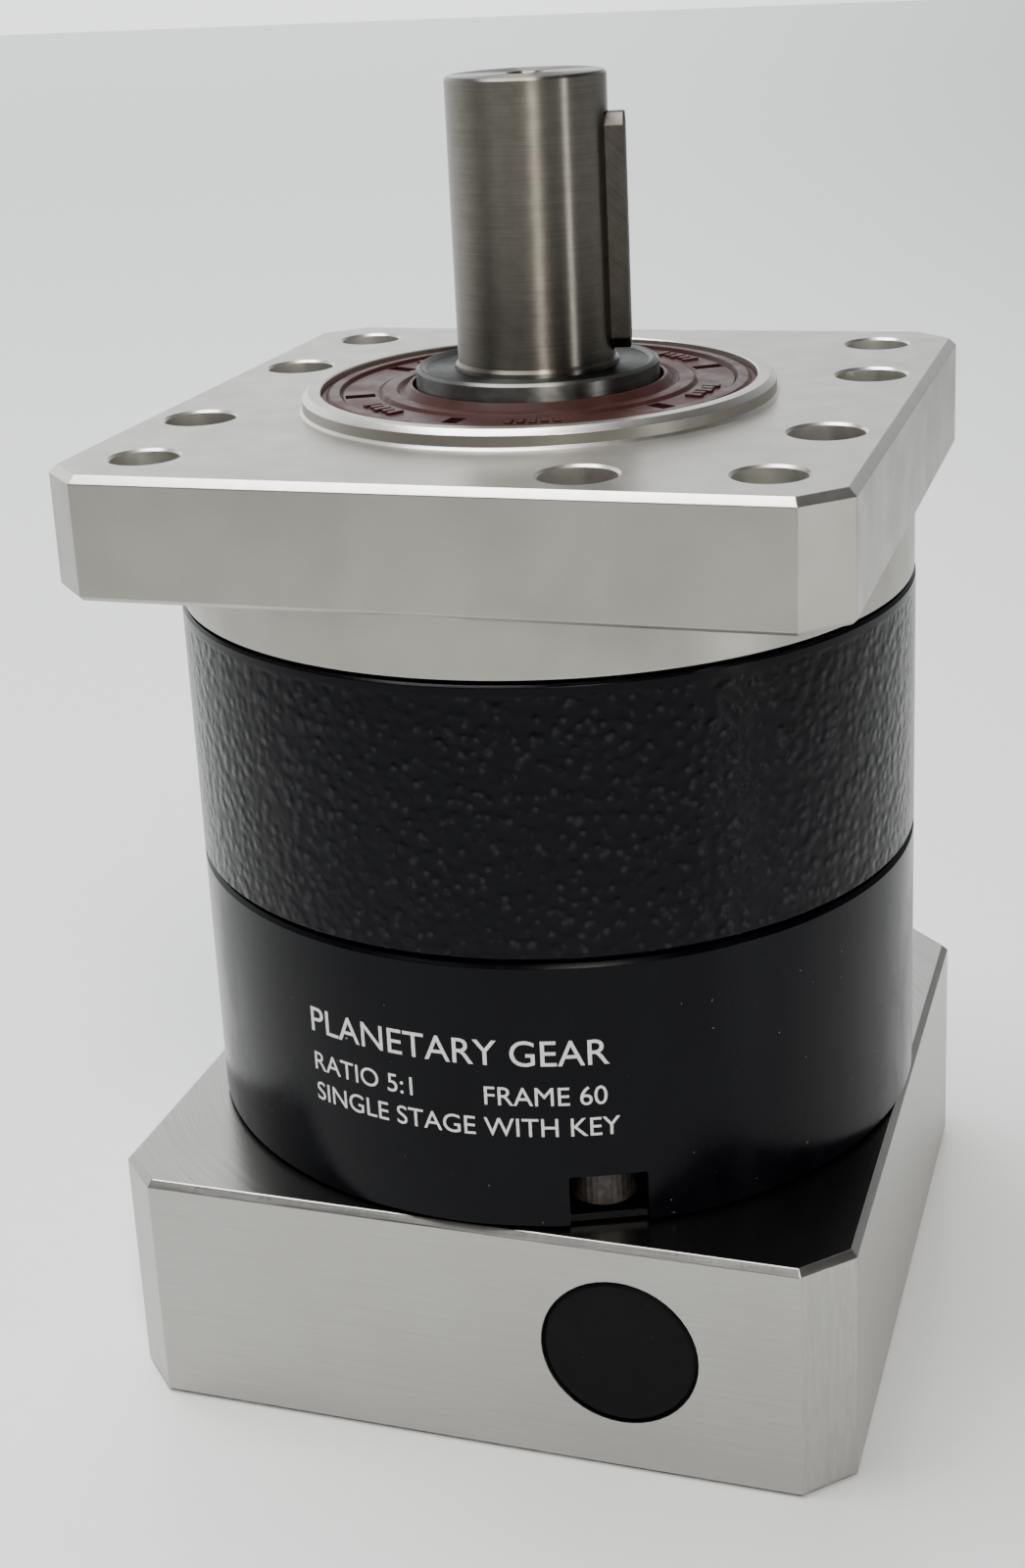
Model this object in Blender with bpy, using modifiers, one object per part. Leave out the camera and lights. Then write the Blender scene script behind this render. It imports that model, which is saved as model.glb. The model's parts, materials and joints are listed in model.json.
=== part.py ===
"""Planetary gearbox, single stage, 60 mm square frame, standing on its motor adapter.

The gearbox axis is Z. The origin is the centre of the motor face and the output shaft
points up. All the sizes below are in millimetres and become metres in the helpers.
"""

import math

import bmesh
import bpy
from mathutils import Matrix, Vector

MM = 0.001
GAP = 0.3  # between pieces that touch in the real gearbox
PAST = 1.0  # how far a cutter runs past the face it opens

# Square plates
FRAME = 60.0
FLANGE_CORNER = 3.35
ADAPTER_CORNER = 3.6
PLATE_BEVEL = 0.6
BODY_R = 30.0
BODY_CHAMFER = 0.45
RIM_CHAMFER = 0.1
BOLT_SQUARE = 47.14  # hole spacing of the 2.3 inch motor frame

# Heights of the outer pieces
ADAPTER_TOP = 19.6
HOUSING_BOTTOM = ADAPTER_TOP + GAP
HOUSING_TOP = 41.8
RING_BOTTOM = HOUSING_TOP + GAP
RING_TOP = 63.4
NECK_BOTTOM = RING_TOP + GAP
NECK_R = 29.9
PLATE_BOTTOM = 68.2
FLANGE_TOP = 77.7
BOSS_TOP = 79.2
BOSS_CHAMFER = 0.25
SHAFT_TOP = 103.1

# Output side
PILOT_R = 19.05
SHAFT_R = 6.35
SHAFT_CHAMFER = 0.25
CENTRE_HOLE_R = 1.1
CENTRE_HOLE_DEPTH = 2.8
CENTRE_HOLE_TIP = 0.6
CENTRE_HOLE_CHAMFER = 0.4
SEAT_R = 7.5
SEAT_TOP = 80.35
REAR_SHOULDER_R = 9.6
COLLAR_R = 9.8
COLLAR_TOP = 80.65
COLLAR_CHAMFER = 0.3
SPACER_R = 9.8
BEARING_R = 17.5
BORE_R = BEARING_R + GAP
SHOULDER_R = 15.6
FRONT_BEARING = (68.4, 77.2)
REAR_BEARING = (58.9, 66.9)
SEAL_BOTTOM = 77.5
SEAL_TOP = 79.0
SPIGOT_R = 22.5
SPIGOT_BOTTOM = 58.2
FLANGE_GROOVE = (59.6, 61.5)
FLANGE_GROOVE_R = 20.9
O_RING_R = 0.55
O_RING_INSET = 0.6  # from a spigot's surface to the middle of its O-ring
KEY_WIDTH = 3.2
KEY_BOTTOM = 81.55
KEY_TOP = 99.9
KEY_FLOOR_R = 4.6
KEY_OUTER_R = 7.6
KEY_ANGLE = 12.0
KEY_END_CHAMFER = 0.9

# Fasteners
SCREW_R = 1.5
SCREW_HOLE_R = SCREW_R + GAP
HEAD_R = 2.65
HEAD_HEIGHT = 3.0
HEAD_HOLE_R = HEAD_R + GAP
HEX_R = 1.4
HEX_DEPTH = 1.6
FLANGE_SCREW_CIRCLE = 27.2
FLANGE_SCREW_ANGLES = (22.5, 112.5, 157.5, 202.5, 292.5, 337.5)
FLANGE_SCREW_SEAT = 71.7
FLANGE_SCREW_END = 56.0
DOWEL_ANGLES = (67.5, 247.5)
DOWEL_SPAN = (59.4, 68.0)
NOTCH_ANGLES = (22.5, 112.5, 202.5, 292.5)
NOTCH_CIRCLE = 25.9
NOTCH_FLOOR = 20.5
NOTCH_TOP = 24.2
NOTCH_WIDTH = 6.0
NOTCH_SCREW_END = 16.3
MOTOR_HOLE_R = 2.5
MOTOR_HOLE_DEPTH = 12.0
FLANGE_HOLE_R = 2.7

# Gears: module 0.9, pressure angle 20 degrees
MODULE = 0.9
PRESSURE = math.radians(20.0)
SUN_TEETH = 12
PLANET_TEETH = 18
RING_TEETH = 48
ADDENDUM = 0.8 * MODULE
DEDENDUM = 1.0 * MODULE
BACKLASH = 0.2  # along the pitch circle, shared by the two flanks
PLANET_CIRCLE = MODULE * (SUN_TEETH + PLANET_TEETH) / 2
PLANET_ANGLES = (90.0, 210.0, 330.0)
PLANET_SPAN = (43.9, 52.1)
SUN_SPAN = (43.4, 52.8)
TOOTH_SPAN = (37.9, 53.0)
FLANK_MIDDLE = 0.1 * MODULE  # below the pitch circle
TOOTH_OVERCUT = 0.4  # of the ring gear's tooth spaces, inside the tips
TOOTH_RUNOUT = 0.2

# Carrier
CARRIER_R = 20.0
CARRIER_BOTTOM = 53.3
CARRIER_TOP = 58.3
CARRIER_CHAMFER = 0.4
REAR_PLATE = (38.7, 42.7)
REAR_PLATE_BORE_R = 7.0
REAR_COUNTERBORE = 2.2
CARRIER_SCREW_HEAD = 1.7
CARRIER_SCREW_LENGTH = 9.5
PILLAR_R = 3.8
PILLAR_ANGLES = (30.0, 150.0, 270.0)
THREAD_DEPTH = 8.5
PIN_R = 3.0
PIN_SPAN = (39.0, 57.0)
BUSH_R = 4.9
WASHER_R = 5.6

# Input side
SOCKET_R = 25.9
SOCKET_BOTTOM = 37.6
RING_SPIGOT_R = SOCKET_R - GAP
RING_GROOVE = (38.5, 40.4)
RING_GROOVE_R = 24.0
RING_BORE_R = SPIGOT_R + GAP
CENTRING_DEPTH = 2.3  # of the lower housing's rim, inside the adapter
INPUT_SEAT_R = 8.2
INPUT_SEAT_TOP = 37.2
INPUT_BEARING = (26.3, 35.3)
INPUT_SHOULDER_R = 11.0
INPUT_FLANGE_R = 9.4
INPUT_FLANGE_BOTTOM = 25.2
INPUT_SEAL = (18.9, 23.7)
INPUT_SEAL_R = 13.0
CIRCLIP_SPAN = (35.8, 36.6)
CIRCLIP_GROOVE = (CIRCLIP_SPAN[0] - GAP, CIRCLIP_SPAN[1] + GAP)
HOUSING_CIRCLIP_R = (15.9, 18.6)
SHAFT_CIRCLIP_R = (7.8, 10.0)
CIRCLIP_OPENING = 4.0
SUN_NECK_R = 5.5
SUN_NOSE_R = 4.2
HUB_R = 7.4
HUB_TOP = 17.2
HUB_BOTTOM = 3.6
HUB_BORE_R = 4.0
HUB_BORE_TOP = 27.0
HUB_BORE_TIP = 1.5
HUB_SLIT = (10.0, 1.2, 13.4)
CLAMP_R = 15.6
CLAMP_SPAN = (5.3, 15.3)
CLAMP_X = 12.4
CLAMP_Z = 10.3
CLAMP_SLIT = 1.6
CLAMP_SCREW_SEAT = 5.0  # from the slit's middle to the head's seat
CLAMP_SCREW_LENGTH = 11.5
CLAMP_THREAD_END = 14.0
CAVITY_R = 17.5
RECESS_R = PILOT_R + 0.05
RECESS_DEPTH = 2.4
PLUG_HEAD_R = 6.15
PLUG_BODY_R = 4.8
PLUG_FACE = 0.1  # below the adapter's side
PLUG_CHAMFER = 0.35
PLUG_HEAD_DEPTH = 1.5
PLUG_DEPTH = 6.0
PLUG_SEAT = PLUG_HEAD_DEPTH + GAP
ACCESS_DEPTH = 24.0

# Rolling bearings
BALL_R = 2.7
BALLS = 7
BALL_CIRCLE = 12.6
INNER_LAND_R = 10.3
OUTER_LAND_R = 15.1
CAGE_R = (12.2, 13.0)
CAGE_HALF_HEIGHT = 1.0

# Segments of round shapes
VISIBLE = 48
PARTLY_SEEN = 36
VISIBLE_HOLE = 16
HIDDEN = 20
HOLE = 10
ARC_STEPS = 3
O_RING_SIDES = 6
BALL_SEGMENTS = 8
BALL_RINGS = 5

# Materials: base colour, roughness, metallic
ALUMINIUM = ("flange_aluminium", (0.62, 0.61, 0.59), 0.32, 1.0)
BRUSHED = ("adapter_aluminium", (0.56, 0.56, 0.55), 0.38, 1.0)
HAMMERED = ("hammered_black", (0.020, 0.020, 0.021), 0.42, 0.0)
SATIN_BLACK = ("satin_black", (0.015, 0.016, 0.018), 0.34, 0.0)
SHAFT_STEEL = ("shaft_steel", (0.30, 0.29, 0.28), 0.34, 1.0)
KEY_STEEL = ("key_steel", (0.24, 0.22, 0.20), 0.45, 1.0)
COLLAR_STEEL = ("collar_steel", (0.33, 0.35, 0.33), 0.38, 1.0)
BEARING_STEEL = ("bearing_steel", (0.55, 0.55, 0.56), 0.20, 1.0)
CAGE_BRASS = ("cage_brass", (0.66, 0.47, 0.20), 0.35, 1.0)
SEAL_RUBBER = ("seal_rubber", (0.105, 0.062, 0.058), 0.55, 0.0)
BLACK_RUBBER = ("black_rubber", (0.020, 0.020, 0.020), 0.75, 0.0)
BLACK_SCREW = ("screw_black", (0.045, 0.040, 0.038), 0.45, 1.0)
GEAR_STEEL = ("gear_steel", (0.42, 0.42, 0.42), 0.30, 1.0)
BRONZE = ("bush_bronze", (0.52, 0.33, 0.16), 0.38, 1.0)
SPRING_STEEL = ("spring_steel", (0.10, 0.10, 0.11), 0.35, 1.0)


ON_AXIS = [Vector((0, 0, 0))]


def clear_scene():
    for thing in list(bpy.data.objects):
        bpy.data.objects.remove(thing, do_unlink=True)


def new_collection(name):
    group = bpy.data.collections.new(name)
    bpy.context.scene.collection.children.link(group)
    return group


def material(spec):
    name, colour, roughness, metallic = spec
    existing = bpy.data.materials.get(name)
    if existing:
        return existing
    made = bpy.data.materials.new(name)
    made.use_nodes = True
    shader = made.node_tree.nodes["Principled BSDF"]
    shader.inputs["Base Color"].default_value = (*colour, 1.0)
    shader.inputs["Roughness"].default_value = roughness
    shader.inputs["Metallic"].default_value = metallic
    made.diffuse_color = (*colour, 1.0)
    return made


def around(radius, angle, z=0.0):
    """A point in millimetres at an angle in degrees about the gearbox axis."""
    turn = math.radians(angle)
    return Vector((radius * math.cos(turn), radius * math.sin(turn), z))


def bolt_corners():
    """The four bolt holes of the 2.3 inch motor frame."""
    half = BOLT_SQUARE / 2
    return [Vector((x, y, 0)) for x in (-half, half) for y in (-half, half)]


def place(name, mesh, group):
    thing = bpy.data.objects.new(name, mesh)
    group.objects.link(thing)
    return thing


def new_mesh_object(name, bm, group):
    mesh = bpy.data.meshes.new(name)
    bm.to_mesh(mesh)
    bm.free()
    return place(name, mesh, group)


def turned(name, profile, group, segments=HIDDEN, closed=True):
    """A Screw modifier on a profile of (radius, z) points at +X.

    A closed profile makes a ring; an open one starts and ends on the axis.
    """
    bm = bmesh.new()
    points = [bm.verts.new((radius * MM, 0.0, z * MM)) for radius, z in profile]
    for first, second in zip(points, points[1:]):
        bm.edges.new((first, second))
    if closed:
        bm.edges.new((points[-1], points[0]))
    thing = new_mesh_object(name, bm, group)
    screw = thing.modifiers.new("Turn", "SCREW")
    screw.axis = "Z"
    screw.angle = math.tau
    screw.steps = segments
    screw.render_steps = segments
    screw.use_merge_vertices = True
    screw.merge_threshold = 0.00001
    screw.use_smooth_shade = True
    return thing


def ring(name, inner, outer, low, high, group, segments=HIDDEN):
    """A plain ring with a rectangular section."""
    profile = [(outer, high), (outer, low), (inner, low), (inner, high)]
    return turned(name, profile, group, segments)


def cylinder_into(bm, radius, low, high, spot, segments, turn=Matrix.Identity(4), top_radius=None):
    """Adds a capped cylinder, along its own Z from low to high, turned and moved to a spot."""
    middle = Matrix.Translation((0.0, 0.0, (low + high) / 2 * MM))
    bmesh.ops.create_cone(
        bm,
        cap_ends=True,
        segments=segments,
        radius1=radius * MM,
        radius2=(radius if top_radius is None else top_radius) * MM,
        depth=(high - low) * MM,
        matrix=Matrix.Translation(spot * MM) @ turn @ middle,
    )


def posts(name, radius, low, high, spots, group, segments=HOLE):
    """Upright cylinders standing at several spots, as one object."""
    bm = bmesh.new()
    for spot in spots:
        cylinder_into(bm, radius, low, high, Vector((spot.x, spot.y, 0.0)), segments)
    return new_mesh_object(name, bm, group)


def block(name, size, centre, group, angle=0.0):
    """A box of a size in millimetres, turned about the gearbox axis after it is placed."""
    bm = bmesh.new()
    bmesh.ops.create_cube(bm, size=1.0)
    bmesh.ops.scale(bm, vec=Vector(size) * MM, verts=bm.verts)
    bmesh.ops.translate(bm, vec=Vector(centre) * MM, verts=bm.verts)
    bmesh.ops.rotate(bm, cent=(0, 0, 0), matrix=Matrix.Rotation(math.radians(angle), 3, "Z"), verts=bm.verts)
    return new_mesh_object(name, bm, group)


def upright_edges(bm):
    return [edge for edge in bm.edges if abs((edge.verts[0].co - edge.verts[1].co).normalized().z) > 0.9]


def rim_edges(bm):
    return [edge for edge in bm.edges if abs(edge.verts[0].co.z - edge.verts[1].co.z) < 1e-7]


def square_plate(name, low, high, corner, group):
    """A square plate with its corners cut off and its rims broken."""
    plate = block(name, (FRAME, FRAME, high - low), (0, 0, (low + high) / 2), group)
    bm = bmesh.new()
    bm.from_mesh(plate.data)
    bmesh.ops.bevel(bm, geom=upright_edges(bm), offset=corner * MM, segments=1, affect="EDGES")
    bmesh.ops.bevel(bm, geom=rim_edges(bm), offset=PLATE_BEVEL * MM, segments=1, affect="EDGES")
    bm.to_mesh(plate.data)
    bm.free()
    return plate


def cut(thing, cutter):
    """Takes the cutter away from the object."""
    boolean = thing.modifiers.new("Cut " + cutter.name, "BOOLEAN")
    boolean.operation = "DIFFERENCE"
    boolean.solver = "EXACT"
    boolean.object = cutter


def join(thing, other):
    """Adds the other object to the object as one solid."""
    boolean = thing.modifiers.new("Join " + other.name, "BOOLEAN")
    boolean.operation = "UNION"
    boolean.solver = "EXACT"
    boolean.object = other


def baked(thing, name, group):
    """Replaces an object by a plain mesh of what its modifiers or its curve make."""
    graph = bpy.context.evaluated_depsgraph_get()
    mesh = bpy.data.meshes.new_from_object(thing.evaluated_get(graph))
    bm = bmesh.new()
    bm.from_mesh(mesh)
    bmesh.ops.remove_doubles(bm, verts=bm.verts, dist=0.000001)
    bm.to_mesh(mesh)
    bm.free()
    solid = place(name, mesh, group)
    solid.matrix_world = thing.matrix_world.copy()
    bpy.data.objects.remove(thing, do_unlink=True)
    return solid


def repeated(name, source, spots, spec, group):
    """Numbered objects that share a source object's mesh, one at each spot."""
    solid = baked(source, name, group)
    for number, spot in enumerate(spots, 1):
        copy = place(f"{name}_{number}", solid.data, group)
        copy.location = spot * MM
        finish(copy, spec)
    bpy.data.objects.remove(solid, do_unlink=True)


def extruded(name, outlines, low, high, group):
    """A 2D curve of closed outlines, filled and extruded from low to high, as a mesh."""
    curve = bpy.data.curves.new(name + "_outline", "CURVE")
    curve.dimensions = "2D"
    curve.fill_mode = "BOTH"
    curve.extrude = (high - low) / 2 * MM
    for outline in outlines:
        spline = curve.splines.new("POLY")
        spline.points.add(len(outline) - 1)
        spline.use_cyclic_u = True
        for point, (x, y) in zip(spline.points, outline):
            point.co = (x * MM, y * MM, 0.0, 1.0)
    thing = place(name + "_curve", curve, group)
    thing.location.z = (low + high) / 2 * MM
    bpy.context.view_layer.update()
    return baked(thing, name, group)


def finish(thing, spec):
    thing.data.materials.clear()
    thing.data.materials.append(material(spec))
    return thing


def involute(angle):
    return math.tan(angle) - angle


def half_tooth(teeth, radius, thinning):
    """Half of a tooth's angle, in radians, where it crosses a radius."""
    pitch_r = MODULE * teeth / 2
    base_r = pitch_r * math.cos(PRESSURE)
    roll = math.acos(min(1.0, base_r / radius))
    return math.pi / 2 / teeth + involute(PRESSURE) - involute(roll) - thinning / 2 / pitch_r


def gear_outline(teeth, radii, thinning, first_angle):
    """The outline of a gear whose flanks cross the given radii, from the root to the tip."""
    outline = []
    for index in range(teeth):
        centre = math.radians(first_angle) + math.tau * index / teeth
        rising = [(radius, centre - half_tooth(teeth, radius, thinning)) for radius in radii]
        falling = [(radius, centre + half_tooth(teeth, radius, thinning)) for radius in reversed(radii)]
        outline += [(radius * math.cos(turn), radius * math.sin(turn)) for radius, turn in rising + falling]
    return outline


def circle_outline(radius, segments):
    turns = [math.tau * index / segments for index in range(segments)]
    return [(radius * math.cos(turn), radius * math.sin(turn)) for turn in turns]


def tooth_radii(teeth):
    pitch_r = MODULE * teeth / 2
    return [pitch_r - DEDENDUM, pitch_r - FLANK_MIDDLE, pitch_r + ADDENDUM]


def cap_screw(name, seat, end, group):
    """A hexagon socket cap screw at the origin, with its head above the seat height."""
    low = seat + GAP / 2
    head_top = low + HEAD_HEIGHT
    profile = [(0, head_top), (HEAD_R, head_top), (HEAD_R, low), (SCREW_R, low), (SCREW_R, end), (0, end)]
    screw = turned(name, profile, group, HOLE, closed=False)
    socket = posts(name + "_socket", HEX_R, head_top - HEX_DEPTH, head_top + PAST, ON_AXIS, cutters, 6)
    cut(screw, socket)
    return screw


def groove(centre_r, middle, radius, side):
    """Points of a race groove's arc, from its upper end to its lower end."""
    land = OUTER_LAND_R if side > 0 else INNER_LAND_R
    reach = math.acos(abs(land - centre_r) / radius)
    turns = [reach * (1 - 2 * step / ARC_STEPS) for step in range(ARC_STEPS + 1)]
    return [(centre_r + side * radius * math.cos(turn), middle + radius * math.sin(turn)) for turn in turns]


def bearing(name, bore_r, span, group):
    """Outer ring, inner ring, and the balls in their cage, of one deep groove ball bearing."""
    low, high = span
    middle = (low + high) / 2
    race = BALL_R + GAP
    outer_arc = groove(BALL_CIRCLE, middle, race, 1)
    inner_arc = groove(BALL_CIRCLE, middle, race, -1)
    outer_profile = [(BEARING_R, high), (BEARING_R, low), (OUTER_LAND_R, low)]
    outer_profile += list(reversed(outer_arc)) + [(OUTER_LAND_R, high)]
    inner_profile = [(INNER_LAND_R, high)] + inner_arc + [(INNER_LAND_R, low), (bore_r, low), (bore_r, high)]
    finish(turned(name + "_outer_ring", outer_profile, group), BEARING_STEEL)
    finish(turned(name + "_inner_ring", inner_profile, group), BEARING_STEEL)
    angles = [360.0 * index / BALLS for index in range(BALLS)]
    balls = bmesh.new()
    for angle in angles:
        centre = Matrix.Translation(around(BALL_CIRCLE, angle, middle) * MM)
        bmesh.ops.create_uvsphere(
            balls, u_segments=BALL_SEGMENTS, v_segments=BALL_RINGS, radius=BALL_R * MM, matrix=centre
        )
    low, high = middle - CAGE_HALF_HEIGHT, middle + CAGE_HALF_HEIGHT
    cage = ring(name + "_ball_cage", CAGE_R[0], CAGE_R[1], low, high, group, 2 * BALLS)
    join(cage, new_mesh_object(name + "_balls", balls, cutters))
    finish(cage, CAGE_BRASS)


def make_output_flange(group):
    """Square flange with its neck, pilot boss and spigot, bored for both output bearings."""
    flange = square_plate("output_flange", PLATE_BOTTOM, FLANGE_TOP, FLANGE_CORNER, group)
    inside_plate = PLATE_BOTTOM + PAST
    groove_low, groove_high = FLANGE_GROOVE
    stem = [
        (0, BOSS_TOP), (PILOT_R - BOSS_CHAMFER, BOSS_TOP), (PILOT_R, BOSS_TOP - BOSS_CHAMFER),
        (PILOT_R, inside_plate), (NECK_R, inside_plate), (NECK_R, NECK_BOTTOM), (SPIGOT_R, NECK_BOTTOM),
        (SPIGOT_R, groove_high), (FLANGE_GROOVE_R, groove_high), (FLANGE_GROOVE_R, groove_low),
        (SPIGOT_R, groove_low), (SPIGOT_R, SPIGOT_BOTTOM), (0, SPIGOT_BOTTOM),
    ]
    join(flange, turned("flange_stem", stem, cutters, VISIBLE, closed=False))
    bore = [
        (0, BOSS_TOP + PAST), (BORE_R, BOSS_TOP + PAST), (BORE_R, FRONT_BEARING[0] - GAP),
        (SHOULDER_R, FRONT_BEARING[0] - GAP), (SHOULDER_R, REAR_BEARING[1] + GAP),
        (BORE_R, REAR_BEARING[1] + GAP), (BORE_R, SPIGOT_BOTTOM - PAST), (0, SPIGOT_BOTTOM - PAST),
    ]
    cut(flange, turned("flange_bore", bore, cutters, HIDDEN, closed=False))
    below, above = PLATE_BOTTOM - PAST, FLANGE_TOP + PAST
    spots = bolt_corners()
    cut(flange, posts("flange_corner_holes", FLANGE_HOLE_R, below, above, spots, cutters, VISIBLE_HOLE))
    spots = [around(FLANGE_SCREW_CIRCLE, angle) for angle in FLANGE_SCREW_ANGLES]
    seat = FLANGE_SCREW_SEAT
    cut(flange, posts("flange_counterbores", HEAD_HOLE_R, seat, above, spots, cutters, VISIBLE_HOLE))
    below = NECK_BOTTOM - PAST
    cut(flange, posts("flange_screw_holes", SCREW_HOLE_R, below, seat + PAST, spots, cutters))
    dowels = [around(FLANGE_SCREW_CIRCLE, angle) for angle in DOWEL_ANGLES]
    cut(flange, posts("flange_dowel_holes", SCREW_HOLE_R, below, DOWEL_SPAN[1] + GAP, dowels, cutters))
    return finish(flange, ALUMINIUM)


def make_ring_gear(group):
    """Fixed internal gear: toothed below, bored for the carrier above, with a spigot underneath."""
    low, high = TOOTH_SPAN
    groove_low, groove_high = RING_GROOVE
    pitch_r = MODULE * RING_TEETH / 2
    inside = pitch_r - ADDENDUM
    profile = [
        (BODY_R - RIM_CHAMFER, RING_TOP), (BODY_R, RING_TOP - RIM_CHAMFER),
        (BODY_R, RING_BOTTOM + BODY_CHAMFER), (BODY_R - BODY_CHAMFER, RING_BOTTOM),
        (RING_SPIGOT_R, RING_BOTTOM), (RING_SPIGOT_R, groove_high),
        (RING_GROOVE_R, groove_high), (RING_GROOVE_R, groove_low), (RING_SPIGOT_R, groove_low),
        (RING_SPIGOT_R, low), (inside, low), (inside, high), (RING_BORE_R, high), (RING_BORE_R, RING_TOP),
    ]
    gear = turned("ring_gear", profile, group, VISIBLE)
    radii = [inside - TOOTH_OVERCUT, pitch_r + DEDENDUM]
    spaces = gear_outline(RING_TEETH, radii, -BACKLASH / 2, 360 / RING_TEETH / 2)
    cut(gear, extruded("ring_tooth_spaces", [spaces], low - PAST, high + TOOTH_RUNOUT, cutters))
    above = RING_TOP + PAST
    spots = [around(FLANGE_SCREW_CIRCLE, angle) for angle in FLANGE_SCREW_ANGLES]
    cut(gear, posts("ring_screw_holes", SCREW_HOLE_R, FLANGE_SCREW_END - PAST, above, spots, cutters))
    dowels = [around(FLANGE_SCREW_CIRCLE, angle) for angle in DOWEL_ANGLES]
    cut(gear, posts("ring_dowel_holes", SCREW_HOLE_R, DOWEL_SPAN[0] - GAP, above, dowels, cutters))
    return finish(gear, HAMMERED)


def make_input_housing(group):
    """Round lower housing: socket for the ring gear, bearing and seal seats, four screw notches."""
    chamfer = BODY_CHAMFER
    seat_r = INPUT_SEAL_R + GAP
    rim_r = CAVITY_R - GAP
    rim_low = HOUSING_BOTTOM - CENTRING_DEPTH
    shoulder_low, shoulder_high = INPUT_SEAL[1] + GAP, INPUT_BEARING[0] - GAP
    groove_r = HOUSING_CIRCLIP_R[1] + GAP
    groove_low, groove_high = CIRCLIP_GROOVE
    profile = [
        (BODY_R - chamfer, HOUSING_TOP), (BODY_R, HOUSING_TOP - chamfer), (BODY_R, HOUSING_BOTTOM),
        (rim_r, HOUSING_BOTTOM), (rim_r, rim_low), (seat_r, rim_low), (seat_r, shoulder_low),
        (INPUT_SHOULDER_R, shoulder_low), (INPUT_SHOULDER_R, shoulder_high), (BORE_R, shoulder_high),
        (BORE_R, groove_low), (groove_r, groove_low), (groove_r, groove_high), (BORE_R, groove_high),
        (BORE_R, SOCKET_BOTTOM), (SOCKET_R, SOCKET_BOTTOM), (SOCKET_R, HOUSING_TOP),
    ]
    housing = turned("input_housing", profile, group, VISIBLE)
    spots = [around(NOTCH_CIRCLE, angle) for angle in NOTCH_ANGLES]
    low, high = NOTCH_TOP - PAST, HOUSING_TOP + PAST
    cut(housing, posts("notch_screw_wells", HEAD_HOLE_R, low, high, spots, cutters))
    low, high = HOUSING_BOTTOM - PAST, NOTCH_FLOOR + PAST
    cut(housing, posts("notch_screw_holes", SCREW_HOLE_R, low, high, spots, cutters))
    height = NOTCH_TOP - NOTCH_FLOOR
    inner = NOTCH_CIRCLE - NOTCH_WIDTH / 2
    for index, angle in enumerate(NOTCH_ANGLES, 1):
        size = (BODY_R + PAST - inner, NOTCH_WIDTH, height)
        centre = (inner + size[0] / 2, 0, NOTCH_FLOOR + height / 2)
        cut(housing, block(f"notch_{index}", size, centre, cutters, angle))
    return finish(housing, SATIN_BLACK)


def make_motor_adapter(group):
    """Square plate between motor and gearbox, hollow for the clamp hub."""
    adapter = square_plate("motor_adapter", 0.0, ADAPTER_TOP, ADAPTER_CORNER, group)
    cavity = [
        (0, ADAPTER_TOP + PAST), (CAVITY_R, ADAPTER_TOP + PAST), (CAVITY_R, RECESS_DEPTH),
        (RECESS_R, RECESS_DEPTH), (RECESS_R, -PAST), (0, -PAST),
    ]
    cut(adapter, turned("adapter_cavity", cavity, cutters, PARTLY_SEEN, closed=False))
    cut(adapter, posts("motor_screw_holes", MOTOR_HOLE_R, -PAST, MOTOR_HOLE_DEPTH, bolt_corners(), cutters))
    spots = [around(NOTCH_CIRCLE, angle) for angle in NOTCH_ANGLES]
    low, high = NOTCH_SCREW_END - GAP, ADAPTER_TOP + PAST
    cut(adapter, posts("adapter_screw_holes", SCREW_HOLE_R, low, high, spots, cutters))
    inward = Matrix.Rotation(math.pi / 2, 4, "X")
    face = Vector((CLAMP_X, -FRAME / 2, CLAMP_Z))
    clearance = GAP / 2
    bm = bmesh.new()
    cylinder_into(bm, PLUG_HEAD_R + clearance, -PLUG_SEAT, PAST, face, PARTLY_SEEN, inward)
    cut(adapter, new_mesh_object("access_counterbore", bm, cutters))
    bm = bmesh.new()
    cylinder_into(bm, PLUG_BODY_R + clearance, -ACCESS_DEPTH, PAST - PLUG_SEAT, face, HIDDEN, inward)
    cut(adapter, new_mesh_object("access_hole", bm, cutters))
    return finish(adapter, BRUSHED)


def make_access_plug(group):
    """Rubber plug in the access hole; its origin is on its own axis at the adapter's face."""
    chamfer = PLUG_CHAMFER
    profile = [
        (0, -PLUG_FACE), (PLUG_HEAD_R - chamfer, -PLUG_FACE), (PLUG_HEAD_R, -PLUG_FACE - chamfer),
        (PLUG_HEAD_R, -PLUG_HEAD_DEPTH), (PLUG_BODY_R, -PLUG_HEAD_DEPTH), (PLUG_BODY_R, -PLUG_DEPTH),
        (0, -PLUG_DEPTH),
    ]
    plug = turned("access_plug", profile, group, PARTLY_SEEN, closed=False)
    plug.location = Vector((CLAMP_X, -FRAME / 2, CLAMP_Z)) * MM
    plug.rotation_euler.x = math.pi / 2
    return finish(plug, BLACK_RUBBER)


def o_ring(name, spigot_r, groove_span, group):
    """A rubber ring lying in the groove of a spigot."""
    middle = sum(groove_span) / 2
    middle_r = spigot_r - O_RING_INSET
    turns = [-math.tau * index / O_RING_SIDES for index in range(O_RING_SIDES)]
    profile = [(middle_r + O_RING_R * math.cos(turn), middle + O_RING_R * math.sin(turn)) for turn in turns]
    finish(turned(name, profile, group), BLACK_RUBBER)


def circlip(name, radii, group):
    """A spring ring, open towards +X."""
    clip = ring(name, *radii, *CIRCLIP_SPAN, group, PARTLY_SEEN)
    size = (2 * CIRCLIP_OPENING, CIRCLIP_OPENING, 2 * CIRCLIP_OPENING)
    cut(clip, block(name + "_opening", size, (sum(radii) / 2, 0, CIRCLIP_SPAN[0]), cutters))
    finish(clip, SPRING_STEEL)


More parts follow.
